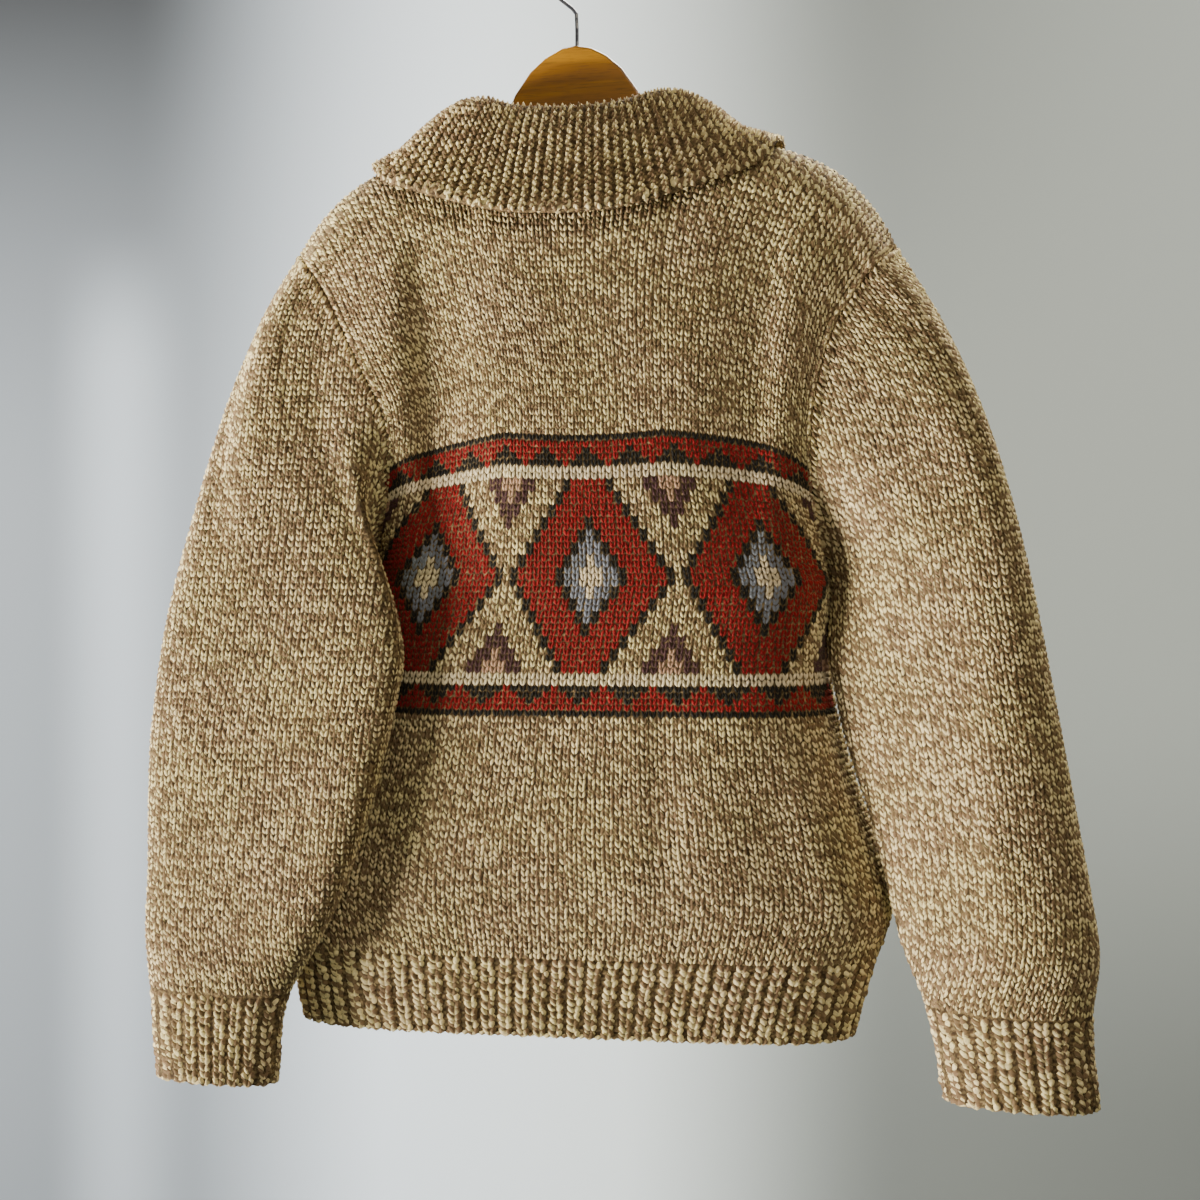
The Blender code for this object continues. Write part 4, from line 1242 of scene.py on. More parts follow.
class Wiring:
    """Adds nodes to a tree and joins them, with one line for each."""

    def __init__(self, tree: bpy.types.ShaderNodeTree) -> None:
        """Takes the tree to add to."""
        self.tree = tree

    def feed(self, value: object, target: bpy.types.NodeSocket) -> None:
        """Joins a socket to an input, or sets the input to a plain value."""
        if isinstance(value, bpy.types.NodeSocket):
            self.tree.links.new(value, target)
        else:
            target.default_value = value

    def set(self, node: bpy.types.Node, **values: object) -> None:
        """Sets a node's inputs and settings, or joins its inputs to sockets.

        Args:
            node: The node.
            values: Values or sockets by the input's or the setting's name.
        """
        for name, value in values.items():
            label = name.replace("_", " ").title().replace("Ior", "IOR")
            if label in node.inputs:
                self.feed(value, node.inputs[label])
            else:
                setattr(node, name, value)

    def add(self, kind: str, **values: object) -> bpy.types.Node:
        """A new node with its settings and inputs."""
        node = self.tree.nodes.new(kind)
        self.set(node, **values)
        return node

    def place(self) -> bpy.types.NodeSocket:
        """The place on the piece, in metres."""
        return self.add("ShaderNodeTexCoord").outputs["Object"]

    def noise(self, **values: object) -> bpy.types.NodeSocket:
        """A noise texture's value."""
        return self.add("ShaderNodeTexNoise", **values).outputs["Fac"]

    def math(self, operation: str, first: object, second: object = 0.0) -> bpy.types.NodeSocket:
        """A Math node on sockets or numbers, and its result."""
        node = self.add("ShaderNodeMath", operation=operation)
        for target, value in zip(node.inputs, (first, second)):
            self.feed(value, target)
        return node.outputs[0]

    def step(
        self, value: bpy.types.NodeSocket, low: float, high: float, to: Sequence[float] = (0, 1)
    ) -> bpy.types.NodeSocket:
        """A smooth step of a value from low to high, onto another range."""
        node = self.add("ShaderNodeMapRange", interpolation_type="SMOOTHSTEP", value=value)
        self.set(node, from_min=low, from_max=high, to_min=to[0], to_max=to[1])
        return node.outputs["Result"]

    def mix(
        self, factor: object, first: object, second: object, blend: str = "MIX"
    ) -> bpy.types.NodeSocket:
        """A Mix node on colours, and its result.

        Args:
            factor: How much of the second.
            first: A colour or a socket.
            second: Another.
            blend: How they are mixed.

        Returns:
            The mixed colour.
        """
        node = self.add("ShaderNodeMix", data_type="RGBA", blend_type=blend)
        for index, value in ((0, factor), (6, first), (7, second)):
            self.feed(value, node.inputs[index])
        return node.outputs[2]

    def between(self, factor: object, first: object, second: object) -> bpy.types.NodeSocket:
        """A Mix node on numbers, and its result."""
        node = self.add("ShaderNodeMix")
        for index, value in ((0, factor), (2, first), (3, second)):
            self.feed(value, node.inputs[index])
        return node.outputs[0]

    def times(self, first: object, second: object) -> bpy.types.NodeSocket:
        """One colour multiplied by another."""
        return self.mix(1.0, first, second, "MULTIPLY")

    def relief(
        self, height: bpy.types.NodeSocket, strength: float, distance: float = 1.0
    ) -> bpy.types.NodeSocket:
        """The normal of a bumpy surface."""
        bump = self.add("ShaderNodeBump", height=height, strength=strength, distance=distance)
        return bump.outputs["Normal"]


def new_finish(name: str) -> tuple[bpy.types.Material, Wiring, bpy.types.Node]:
    """A new material, its wiring and its shader."""
    material = bpy.data.materials.new(name)
    material.use_nodes = True
    tree = material.node_tree
    return material, Wiring(tree), tree.nodes["Principled BSDF"]


def new_group(
    name: str, inputs: Sequence[Input], outputs: Sequence[str]
) -> tuple[Wiring, bpy.types.NodeOutputs, bpy.types.NodeInputs]:
    """An empty shader node group.

    Args:
        name: The group's name.
        inputs: Its inputs.
        outputs: The names of its outputs, which are numbers.

    Returns:
        Its wiring, the sockets that hold its inputs and the sockets that take its outputs.
    """
    tree = bpy.data.node_groups.new(name, "ShaderNodeTree")
    for way, sockets in (
        ("INPUT", inputs), ("OUTPUT", [Input(label, "NodeSocketFloat") for label in outputs])
    ):
        for socket in sockets:
            made = tree.interface.new_socket(
                name=socket.name, in_out=way, socket_type=socket.kind
            )
            if socket.value is not None:
                made.default_value = socket.value
    source, target = tree.nodes.new("NodeGroupInput"), tree.nodes.new("NodeGroupOutput")
    return Wiring(tree), source.outputs, target.inputs


def linear(red: int, green: int, blue: int) -> Colour:
    """A display colour of 0 to 255 as linear light."""
    parts = (c / 255 for c in (red, green, blue))
    low = ((c / 12.92) if c <= 0.04045 else ((c + 0.055) / 1.055) ** 2.4 for c in parts)
    return (*low, 1.0)


def ply_group() -> bpy.types.ShaderNodeTree:
    """Where each of a yarn's two plies lies, and how high it stands, from place on the yarn."""
    lean, ply_edge, ply_top = 0.27, 0.35, 0.55
    wiring, source, target = new_group(
        "two_plies",
        (Input("Strand", "NodeSocketVector"), Input("Pitch", "NodeSocketFloat", 0.012)),
        ("Ply", "Height"),
    )
    parts = wiring.add("ShaderNodeSeparateXYZ", vector=source["Strand"]).outputs
    turns = wiring.math("DIVIDE", parts["Y"], source["Pitch"])
    leaning = wiring.math("ADD", turns, wiring.math("MULTIPLY", parts["X"], lean))
    phase = wiring.math("ADD", leaning, parts["Z"])
    wave = wiring.math("SINE", wiring.math("MULTIPLY", phase, 2 * math.pi))
    wiring.feed(wiring.step(wave, -ply_edge, ply_edge), target["Ply"])
    wiring.feed(wiring.step(wiring.math("ABSOLUTE", wave), 0.0, ply_top), target["Height"])
    return wiring.tree


def fibre_group() -> bpy.types.ShaderNodeTree:
    """Fine wool fibres: a height and a light-and-dark fleck."""
    wiring, source, target = new_group(
        "wool_fibres",
        (Input("Place", "NodeSocketVector"), Input("Fineness", "NodeSocketFloat", 1.0)),
        ("Height", "Fleck"),
    )
    for output, size, detail in (("Height", 1500.0, 3.0), ("Fleck", 420.0, 2.0)):
        scale = wiring.math("MULTIPLY", source["Fineness"], size)
        noise = wiring.noise(vector=source["Place"], scale=scale, detail=detail)
        wiring.feed(noise, target[output])
    return wiring.tree


@dataclass(frozen=True)
class YarnFinish:
    """Bulky marled yarn: a pale ply and a dark ply twisted together."""

    name: str
    pale: Colour
    dark: Colour
    pitch: float = 0.0105
    fleck: Ramp = Ramp(0.35, 0.68, (0.84, 1.16))
    lot: Ramp = Ramp(0.0, 1.0, (0.84, 1.14))  # how the legs differ in tone
    patch_scale: float = 16.0
    patch: Ramp = Ramp(0.38, 0.62)
    cool_cast: Colour = (1.02, 0.99, 1.0, 1)
    warm_cast: Colour = (1.0, 1.01, 0.92, 1)
    ply_height: float = 0.0007
    fibre_height: float = 0.0004
    relief: float = 0.8
    roughness: float = 0.92
    sheen: float = 0.22
    sheen_roughness: float = 0.6
    specular: float = 0.2

    def material(
        self, plies: bpy.types.ShaderNodeTree, fibres: bpy.types.ShaderNodeTree
    ) -> bpy.types.Material:
        """The yarn's material, which reads the stitches' strand and dye attributes.

        Args:
            plies: The group of the two plies.
            fibres: The group of the fibres.

        Returns:
            The material.
        """
        material, wiring, shader = new_finish(self.name)
        place = wiring.place()
        strand = wiring.add("ShaderNodeAttribute", attribute_name="strand").outputs["Vector"]
        dye = wiring.add("ShaderNodeAttribute", attribute_name="dye").outputs
        ply = wiring.add("ShaderNodeGroup", node_tree=plies, strand=strand, pitch=self.pitch)
        wool = wiring.add("ShaderNodeGroup", node_tree=fibres, place=place)
        marl = wiring.mix(ply.outputs["Ply"], self.pale, self.dark)
        yarn = wiring.mix(dye["Alpha"], marl, dye["Color"])
        fleck = wiring.step(wool.outputs["Fleck"], *self.fleck)
        phase = wiring.add("ShaderNodeSeparateXYZ", vector=strand).outputs["Z"]
        chance = wiring.add("ShaderNodeTexWhiteNoise", noise_dimensions="1D", w=phase)
        lot = wiring.step(chance.outputs["Value"], *self.lot)
        patches = wiring.step(wiring.noise(vector=place, scale=self.patch_scale), *self.patch)
        cast = wiring.mix(patches, self.cool_cast, self.warm_cast)
        shaded = wiring.times(yarn, wiring.math("MULTIPLY", fleck, lot))
        twist = wiring.math("MULTIPLY", ply.outputs["Height"], self.ply_height)
        fuzz = wiring.math("MULTIPLY", wool.outputs["Height"], self.fibre_height)
        wiring.set(
            shader,
            base_color=wiring.times(shaded, cast),
            normal=wiring.relief(wiring.math("ADD", twist, fuzz), self.relief),
            roughness=self.roughness,
            sheen_weight=self.sheen,
            sheen_roughness=self.sheen_roughness,
            sheen_tint=self.pale,
            specular_ior_level=self.specular,
        )
        return material


@dataclass(frozen=True)
class ClothFinish:
    """The cloth between and behind the stitches, seen in the loops' hollows: the yarn's colours
    with painted shade between its purl bumps.
    """

    name: str
    pale: Colour
    dark: Colour
    purl_scale: float = 150.0
    purl_stretch: Place = (1.0, 1.0, 1.5)
    purl_randomness: float = 0.55
    purl_rise_and_shade: Ramp = Ramp(0.0, 0.75, (1.0, 0.35))
    # the purl bumps' rise, which also darkens the colour between them as painted shade
    marl: Ramp = Ramp(0.40, 0.60)
    purl_height: float = 0.0016
    fibre_height: float = 0.0003
    relief: float = 0.7
    roughness: float = 0.95
    specular: float = 0.15

    def material(self, fibres: bpy.types.ShaderNodeTree) -> bpy.types.Material:
        """The cloth's material: purl bumps in both plies' colours, darkened between the bumps as
        painted shade.

        Args:
            fibres: The group of the fibres.

        Returns:
            The material.
        """
        material, wiring, shader = new_finish(self.name)
        place = wiring.place()
        stretched = wiring.add("ShaderNodeMapping", vector=place, scale=self.purl_stretch)
        bumps = wiring.add(
            "ShaderNodeTexVoronoi",
            feature="F1",
            vector=stretched.outputs["Vector"],
            scale=self.purl_scale,
            randomness=self.purl_randomness,
        )
        wool = wiring.add("ShaderNodeGroup", node_tree=fibres, place=place)
        marl = wiring.mix(wiring.step(wool.outputs["Fleck"], *self.marl), self.dark, self.pale)
        # the bumps' rise, used for their height and as painted shade between them
        top = wiring.step(bumps.outputs["Distance"], *self.purl_rise_and_shade)
        purl = wiring.math("MULTIPLY", top, self.purl_height)
        fuzz = wiring.math("MULTIPLY", wool.outputs["Height"], self.fibre_height)
        wiring.set(
            shader,
            # painted shade: the colour darkens between the purl bumps
            base_color=wiring.times(marl, top),
            normal=wiring.relief(wiring.math("ADD", purl, fuzz), self.relief),
            roughness=self.roughness,
            specular_ior_level=self.specular,
        )
        return material


@dataclass(frozen=True)
class WoodFinish:
    """Orange-brown varnished wood with a fine straight grain."""

    name: str = "varnished_wood"
    light: Colour = linear(158, 108, 8)
    deep: Colour = linear(124, 79, 2)
    stretch: Place = (0.08, 1.0, 1.0)
    grain_scale: float = 90.0
    grain: Ramp = Ramp(0.36, 0.66)
    pore_scale: float = 900.0
    pore: Ramp = Ramp(0.30, 0.50, (0.72, 1.0))
    pore_height: float = 0.0003
    relief: float = 0.25
    roughness: Ramp = Ramp(0.3, 0.7, (0.42, 0.34))
    coat: float = 0.15
    coat_roughness: float = 0.18

    def material(self) -> bpy.types.Material:
        """The wood's material, with its grain along X."""
        material, wiring, shader = new_finish(self.name)
        stretched = wiring.add("ShaderNodeMapping", vector=wiring.place(), scale=self.stretch)
        place = stretched.outputs["Vector"]
        bands = wiring.noise(vector=place, scale=self.grain_scale, detail=5.0, distortion=0.6)
        pores = wiring.noise(vector=place, scale=self.pore_scale, detail=2.0)
        grain = wiring.mix(wiring.step(bands, *self.grain), self.deep, self.light)
        wiring.set(
            shader,
            base_color=wiring.times(grain, wiring.step(pores, *self.pore)),
            normal=wiring.relief(pores, self.relief, self.pore_height),
            roughness=wiring.step(bands, *self.roughness),
            coat_weight=self.coat,
            coat_roughness=self.coat_roughness,
        )
        return material


@dataclass(frozen=True)
class WireFinish:
    """Dark drawn steel wire with a faint tarnish."""

    name: str = "dark_steel"
    tone: Colour = linear(58, 58, 62)
    worn: Colour = linear(110, 108, 106)
    tarnish_scale: float = 260.0
    tarnish: Ramp = Ramp(0.50, 0.72)
    roughness: Ramp = Ramp(0.3, 0.7, (0.42, 0.26))

    def material(self) -> bpy.types.Material:
        """The wire's material."""
        material, wiring, shader = new_finish(self.name)
        tarnish = wiring.noise(vector=wiring.place(), scale=self.tarnish_scale, detail=4.0)
        wiring.set(
            shader,
            base_color=wiring.mix(wiring.step(tarnish, *self.tarnish), self.tone, self.worn),
            roughness=wiring.step(tarnish, *self.roughness),
            metallic=1.0,
        )
        return material


@dataclass(frozen=True)
class HornFinish:
    """Dark brown polished horn, streaked and cloudy."""

    name: str = "button_horn"
    dark: Colour = linear(52, 33, 22)
    pale: Colour = linear(126, 88, 54)
    stretch: Place = (1.0, 1.0, 0.28)
    turn: Place = (0.0, 0.5, 0.0)
    streak_scale: float = 420.0
    cloud: Ramp = Ramp(0.42, 0.68)
    roughness: Ramp = Ramp(0.3, 0.7, (0.24, 0.38))
    coat: float = 0.2

    def material(self) -> bpy.types.Material:
        """The buttons' material."""
        material, wiring, shader = new_finish(self.name)
        stretched = wiring.add(
            "ShaderNodeMapping", vector=wiring.place(), scale=self.stretch, rotation=self.turn
        )
        place = stretched.outputs["Vector"]
        streaks = wiring.noise(vector=place, scale=self.streak_scale, detail=4.0, distortion=0.8)
        wiring.set(
            shader,
            base_color=wiring.mix(wiring.step(streaks, *self.cloud), self.dark, self.pale),
            roughness=wiring.step(streaks, *self.roughness),
            coat_weight=self.coat,
        )
        return material


@dataclass
class Wardrobe:
    """Every material of the garment, made once."""

    pale: Colour = linear(222, 202, 148)
    dark: Colour = linear(120, 96, 68)
    # the yarn's two colours darkened for the cloth seen between the stitches: painted shade of
    # the hollows
    pale_in_painted_shade: Colour = linear(150, 127, 86)
    dark_in_painted_shade: Colour = linear(98, 76, 50)

    def __post_init__(self) -> None:
        """Builds the shared groups and the materials."""
        plies, fibres = ply_group(), fibre_group()
        # the cloth under the stitches wears the darkened colours as painted shade
        painted_shade_cloth = ClothFinish("wool_hollows_painted_shade", self.pale_in_painted_shade, self.dark_in_painted_shade)
        inside = ClothFinish("wool_inside", self.pale, self.dark)
        self.yarn = YarnFinish("marled_wool", self.pale, self.dark).material(plies, fibres)
        self.cloth = (painted_shade_cloth.material(fibres), inside.material(fibres))
        self.wood = WoodFinish().material()
        self.wire = WireFinish().material()
        self.horn = HornFinish().material()


# ---------------------------------------------------------------- the charted design
@dataclass(frozen=True)
class Chart:
    """A traditional band of stepped diamonds between two rows of small triangles."""

    first_course: int = 40
    height: int = 45
    period: int = 22  # stitches from one diamond to the next
    border: int = 5  # courses of triangles above the diamonds and below them
    tooth: int = 6  # stitches from one triangle to the next
    gap_reach: int = 39  # from a diamond's heart to the middle of the gap beside it
    red: Colour = linear(128, 0, 12)
    black: Colour = linear(10, 10, 14)
    plum: Colour = linear(68, 40, 44)
    tan: Colour = linear(176, 138, 112)
    grey: Colour = linear(118, 122, 128)
    cream: Colour = linear(222, 204, 164)

    def dyes(self, courses: np.ndarray, wales: np.ndarray) -> np.ndarray:
        """The colour of each stitch.

        Args:
            courses: Course numbers.
            wales: Wale numbers from the middle of the back.

        Returns:
            Red, green, blue and how much of the dye shows, by course and wale.
        """
        row, col = np.meshgrid(courses - self.first_course, wales, indexing="ij")
        half, middle = self.period // 2, (self.height - 1) / 2
        aside = np.abs((col + half) % self.period - half)
        up = np.abs(row - middle)
        rim = up - (middle - self.border)
        teeth = np.abs(col % self.tooth - self.tooth // 2)
        reach = 2 * aside + 2 * (up // 2)  # from the heart of the nearest diamond
        between = self.gap_reach - reach
        rules = (
            (rim >= self.border, self.black),
            ((rim >= 1) & (teeth >= rim), self.black),
            (rim >= 1, self.red),
            (rim >= -1, self.cream),
            (reach <= 2, self.cream),
            (reach <= 6, self.grey),
            (reach <= 8, self.black),
            (reach <= 18, self.red),
            (reach <= 20, self.black),
            (between <= 5, self.tan),
            (between <= 9, self.plum),
        )
        inside = (row >= 0) & (row < self.height)
        dyes = np.zeros((*row.shape, 4))
        for condition, colour in reversed(rules):
            dyes[inside & condition] = colour
        return dyes


# ---------------------------------------------------------------- sub-assemblies
@dataclass
class BodyPanel:
    """The back or a front: its sheet, its stocking stitches and its ribbed hem."""

    name: str
    facing: Facing
    sides: tuple[Side, ...]
    low_wales: int  # from the reference line to the side, below the armhole
    high_wales: int  # and above it
    ribs: int
    flat: tuple[float, float]
    area: float
    seed: int
    chart: Chart | None = None
    torso: Torso = field(default_factory=Torso)
    gauge: Gauge = field(default_factory=Gauge)
    hem_courses: int = 12
    cast_off_level: float = 0.15
    neck_margin: float = 0.002  # between the front's edge and its first stitch
    upper_seam: tuple[float, float] = (0.0, 0.985)  # levels
    upper_seam_width: float = 0.0066
    lower_seam_width: float = 0.0056
    seam_row_step: float = 0.005
    sheet_thickness: float = 0.0024
    sheet_step: float = 0.0085
    sheet_columns: int = 40
    half_samples: int = 260
    row_samples: int = 400
    hem_samples: int = 500
    loop_level: float = -0.99  # where the cast-on loops start

    def half_course(self, side: Side, level: float) -> Skin:
        """A course from the piece's reference line out to one side.

        Args:
            side: Which side.
            level: The course's level.

        Returns:
            Its points and normals.
        """
        start = 0.0
        if self.facing is Facing.FRONT:
            inner = side.value * self.torso.band_half_width
            start = self.torso.angle_at(self.facing, inner, level)
        angles = np.linspace(start, side.value * HALF_PI, self.half_samples)
        return self.torso.skin(self.facing, angles, level)

    def row(self, level: float, samples: int) -> Skin:
        """The whole piece at a level, from left to right as seen from behind.

        Args:
            level: As for the torso.
            samples: How many points to take.

        Returns:
            Points and normals.
        """
        low, high = -HALF_PI, HALF_PI
        if len(self.sides) == 1:
            side = self.sides[0]
            edge = side.value * self.torso.front_edge_x(level)
            inner = self.torso.angle_at(self.facing, edge, level)
            low, high = (low, inner) if side is Side.LEFT else (inner, high)
        return self.torso.skin(self.facing, np.linspace(low, high, samples), level)

    def wales_in(self, level: float) -> float:
        """How many wales lie between the reference line and the side."""
        lost = self.low_wales - self.high_wales
        return self.low_wales - lost * float(smooth(level / self.cast_off_level))

    def half_lattice(self, side: Side) -> Lattice:
        """The stocking stitches of one side, from the top of the hem to the shoulder.

        Args:
            side: Which side.

        Returns:
            Its stitches, from left to right.
        """
        torso = self.torso
        levels = torso.levels_at_steps(self.facing, torso.rib_level, 1.0, self.gauge.course)
        courses = [self.half_course(side, level) for level in levels]
        spacings = [
            run_lengths(points)[-1] / self.wales_in(level)
            for (points, _), level in zip(courses, levels)
        ]
        half = knitted(courses, np.array(spacings), self.low_wales)
        if self.facing is Facing.FRONT:
            edges = np.array([torso.front_edge_x(level) for level in levels])
            past_edge = np.abs(half.points[:, 1:, 0]) > edges[:, None] + self.neck_margin
            half.keep &= past_edge[:-1]
        return half.turned() if side is Side.LEFT else half

    def lattice(self) -> Lattice:
        """The stocking stitches of the whole piece."""
        halves = [self.half_lattice(side) for side in self.sides]
        return halves[0] if len(halves) == 1 else halves[0].beside(halves[1])

    def hem_lattice(self) -> Lattice:
        """The ribbed hem, with one rib to a wale."""
        levels = np.linspace(-1.0, self.torso.rib_level, self.hem_courses + 1)
        rows = [even_skin(self.row(level, self.hem_samples), self.ribs) for level in levels]
        return Lattice.whole(*zip(*rows))

    def side_strip(self, side: Side, low: float, high: float, width: float) -> Lattice:
        """A strip of the face along one side's edge, between two levels.

        Args:
            side: Which side.
            low: The first level.
            high: The last level.
            width: Of the strip, in from the edge.

        Returns:
            The strip, one stitch wide.
        """
        lines, ways = [], []
        for level in self.torso.levels_at_steps(self.facing, low, high, self.seam_row_step):
            points, normals = self.half_course(side, level)
            run = run_lengths(points)
            lines.append(along(points, run, run[-1] - np.array([width, 0.0])))
            ways.append(along(normals, run, np.array([run[-1] - width / 2]))[0])
        return strip_lattice(np.array(lines).transpose(1, 0, 2), np.array(ways), SEAM_STEP)

    def cast_on(self) -> Lattice:
        """The rounded loops along the lower edge."""
        low, ways = self.row(-1.0, self.row_samples)
        high, _ = self.row(self.loop_level, self.row_samples)
        return cast_on_lattice(high, low, ways, closed=False)

    def grid(self) -> np.ndarray:
        """Points of the sheet by row, whose order makes its faces point outwards."""
        levels = self.torso.levels_at_steps(self.facing, -1.0, 1.0, self.sheet_step)
        rows = [even_skin(self.row(v, self.row_samples), self.sheet_columns)[0] for v in levels]
        return np.array(rows)[:, :: -self.facing.value]

    def build(self, wardrobe: Wardrobe) -> None:
        """Args:
            wardrobe: The materials to dress it in.
        """
        sheet = sheet_object(
            f"{self.name}_cloth", self.grid(), self.sheet_thickness, wardrobe.cloth
        )
        lattice = self.lattice()
        dyes = None
        if self.chart:
            courses, wales = (np.arange(count) for count in lattice.keep.shape)
            dyes = self.chart.dyes(courses, wales - lattice.middle)
        stitches = KnitMesh(f"{self.name}_stitches", self.seed)
        stitches.lay(lattice, STOCKING, LEAF, dyes)
        hem = KnitMesh(f"{self.name}_hem_rib", self.seed + 1)
        hem.lay(self.hem_lattice(), RIB, RIB_LEAF)
        hem.lay(self.cast_on(), (EDGE_LOOP,), LEAF)
        seams = KnitMesh(f"{self.name}_seams", self.seed + 2)
        lower_seam = (self.torso.rib_level, 0.0, self.lower_seam_width)
        for side in self.sides:
            for strip in ((*self.upper_seam, self.upper_seam_width), lower_seam):
                seams.lay(self.side_strip(side, *strip), (SEAM_LEAF,), LEAF)
        pieces = [knit.build(wardrobe.yarn) for knit in (stitches, hem, seams)]
        declare(pieces, self.name)


@dataclass
class Sleeve:
    """One sleeve: its tube of cloth, its stitches and its ribbed cuff."""

    arm: Arm
    flat: tuple[float, float]
    area: float
    seed: int
    gauge: Gauge = field(default_factory=Gauge)
    most_wales: int = 44  # of the back half or the front half
    ribs: int = 20
    cuff_courses: int = 13
    tip_drop: float = 0.0015  # from the shoulder's tip to the last course
    head_rows: int = 12  # of the sleeve's surface, which the armhole's seam lies on
    seam_width: float = 0.0066
    loop_rise: float = 0.0035  # from the cuff's end to where its cast-on loops start
    loop_samples: int = 200
    cuff_samples: int = 400
    sheet_thickness: float = 0.0024
    sheet_skip: int = 2  # the sheet takes each second point of the surface

    def course(self, z: float, surface: Skin) -> list[Skin]:
        """One level course, as its back half and its front half from the outer line.

        Args:
            z: The course's height.
            surface: The sleeve's points and normals.

        Returns:
            Points and normals of each half, which ends at the armhole or under the arm.
        """
        grid, normals = surface
        columns = grid.shape[1]
        spots, ways = np.empty((columns, 3)), np.empty((columns, 3))
        heights = grid[:, :, 2]
        for k in range(columns):
            run = np.minimum.accumulate(heights[:, k])[::-1]
            spots[k] = along(grid[::-1, k], run, np.array([z]))[0]
            ways[k] = along(normals[::-1, k], run, np.array([z]))[0]
        ways = unit(ways)
        top = heights[0]
        halves = []
        for order in (np.arange(columns // 2 + 1), -np.arange(columns // 2 + 1)):
            line, way, above = spots[order], ways[order], top[order] >= z
            if not above.all():
                last = int(np.argmin(above))
                high, low = top[order[last - 1]], top[order[last]]
                share = (high - z) / max(high - low, 1e-9)
                seam = grid[0, order]
                end = seam[last - 1] + share * (seam[last] - seam[last - 1])
                line, way = np.vstack([line[:last], end]), np.vstack([way[:last], way[last - 1]])
            halves.append((line, way))
        return halves

    def lattice(self, surface: Skin) -> Lattice:
        """The stocking stitches, with the wales running down from the shoulder's tip.

        Args:
            surface: The sleeve's points and normals.

        Returns:
            The stitches, all round the sleeve.
        """
        outer = surface[0][:, 0]
        outer = outer[outer[:, 2] >= self.arm.cuff_top_z - 1e-6][::-1]
        run = run_lengths(outer)
        steps = round(run[-1] / self.gauge.course)
        zs = np.interp(np.linspace(0, run[-1], steps + 1), run, outer[:, 2])
        zs[-1] -= self.tip_drop
        spacings = np.full(len(zs), self.gauge.wale)
        backs, fronts = zip(*(self.course(z, surface) for z in zs))
        back, front = (knitted(half, spacings, self.most_wales) for half in (backs, fronts))
        left, right = (back, front) if self.arm.side is Side.RIGHT else (front, back)
        return left.turned().beside(right)

    def armhole_strip(self, surface: Skin) -> Lattice:
        """A strip of the sleeve's head along the armhole's seam."""
        grid, normals = surface
        reach = np.array([0.0, self.seam_width])
        columns = grid[: self.head_rows].transpose(1, 0, 2)
        lines = np.array([along(line, run_lengths(line), reach) for line in columns])
        return strip_lattice(lines.transpose(1, 0, 2), normals[1], SEAM_STEP, closed=True)

    def cast_on(self) -> Lattice:
        """The rounded loops round the cuff's end."""
        arm = self.arm
        angles = np.linspace(0, 2 * math.pi, self.loop_samples, endpoint=False)
        low = arm.ring(arm.cuff_end_z, angles)
        high = arm.ring(arm.cuff_end_z + self.loop_rise, angles)
        out = unit((low - low.mean(axis=0)) * [1, 1, 0])
        return cast_on_lattice(high, low, out, closed=True)

    def cuff_lattice(self) -> Lattice:
        """The ribbed cuff, with one rib to a wale."""
        arm = self.arm
        points = []
        angles = np.linspace(0, 2 * math.pi, self.cuff_samples)
        angles = angles * -arm.side.value + math.radians(arm.twist)
        for z in np.linspace(arm.cuff_end_z, arm.cuff_top_z, self.cuff_courses + 1):
            ring = arm.ring(z, angles)
            run = run_lengths(ring)
            points.append(along(ring, run, np.linspace(0, run[-1], self.ribs + 1)))
        points = np.array(points)
        up = np.gradient(points, axis=0)
        closed = np.concatenate([points[:, -2:-1], points, points[:, 1:2]], axis=1)
        return Lattice.whole(points, unit(np.cross(closed[:, 2:] - closed[:, :-2], up)))

    def build(self, wardrobe: Wardrobe) -> None:
        """Args:
            wardrobe: The materials to dress it in.
        """
        surface = self.arm.surface()
        name = f"sleeve_{self.arm.side.word}"
        skip = self.sheet_skip
        grid = surface[0][::skip, ::skip][:, :: self.arm.side.value]
        sheet = sheet_object(
            f"{name}_cloth", grid, self.sheet_thickness, wardrobe.cloth, ring=True
        )
        stitches = KnitMesh(f"{name}_stitches", self.seed)
        stitches.lay(self.lattice(surface), STOCKING, LEAF)
        cuff = KnitMesh(f"{name}_cuff_rib", self.seed + 1)
        cuff.lay(self.cuff_lattice(), RIB, RIB_LEAF)
        cuff.lay(self.cast_on(), (EDGE_LOOP,), LEAF)
        seam = KnitMesh(f"{name}_seam", self.seed + 2)
        seam.lay(self.armhole_strip(surface), (SEAM_CROSS,), LEAF)
        pieces = [knit.build(wardrobe.yarn) for knit in (stitches, cuff, seam)]
        declare(pieces, name)


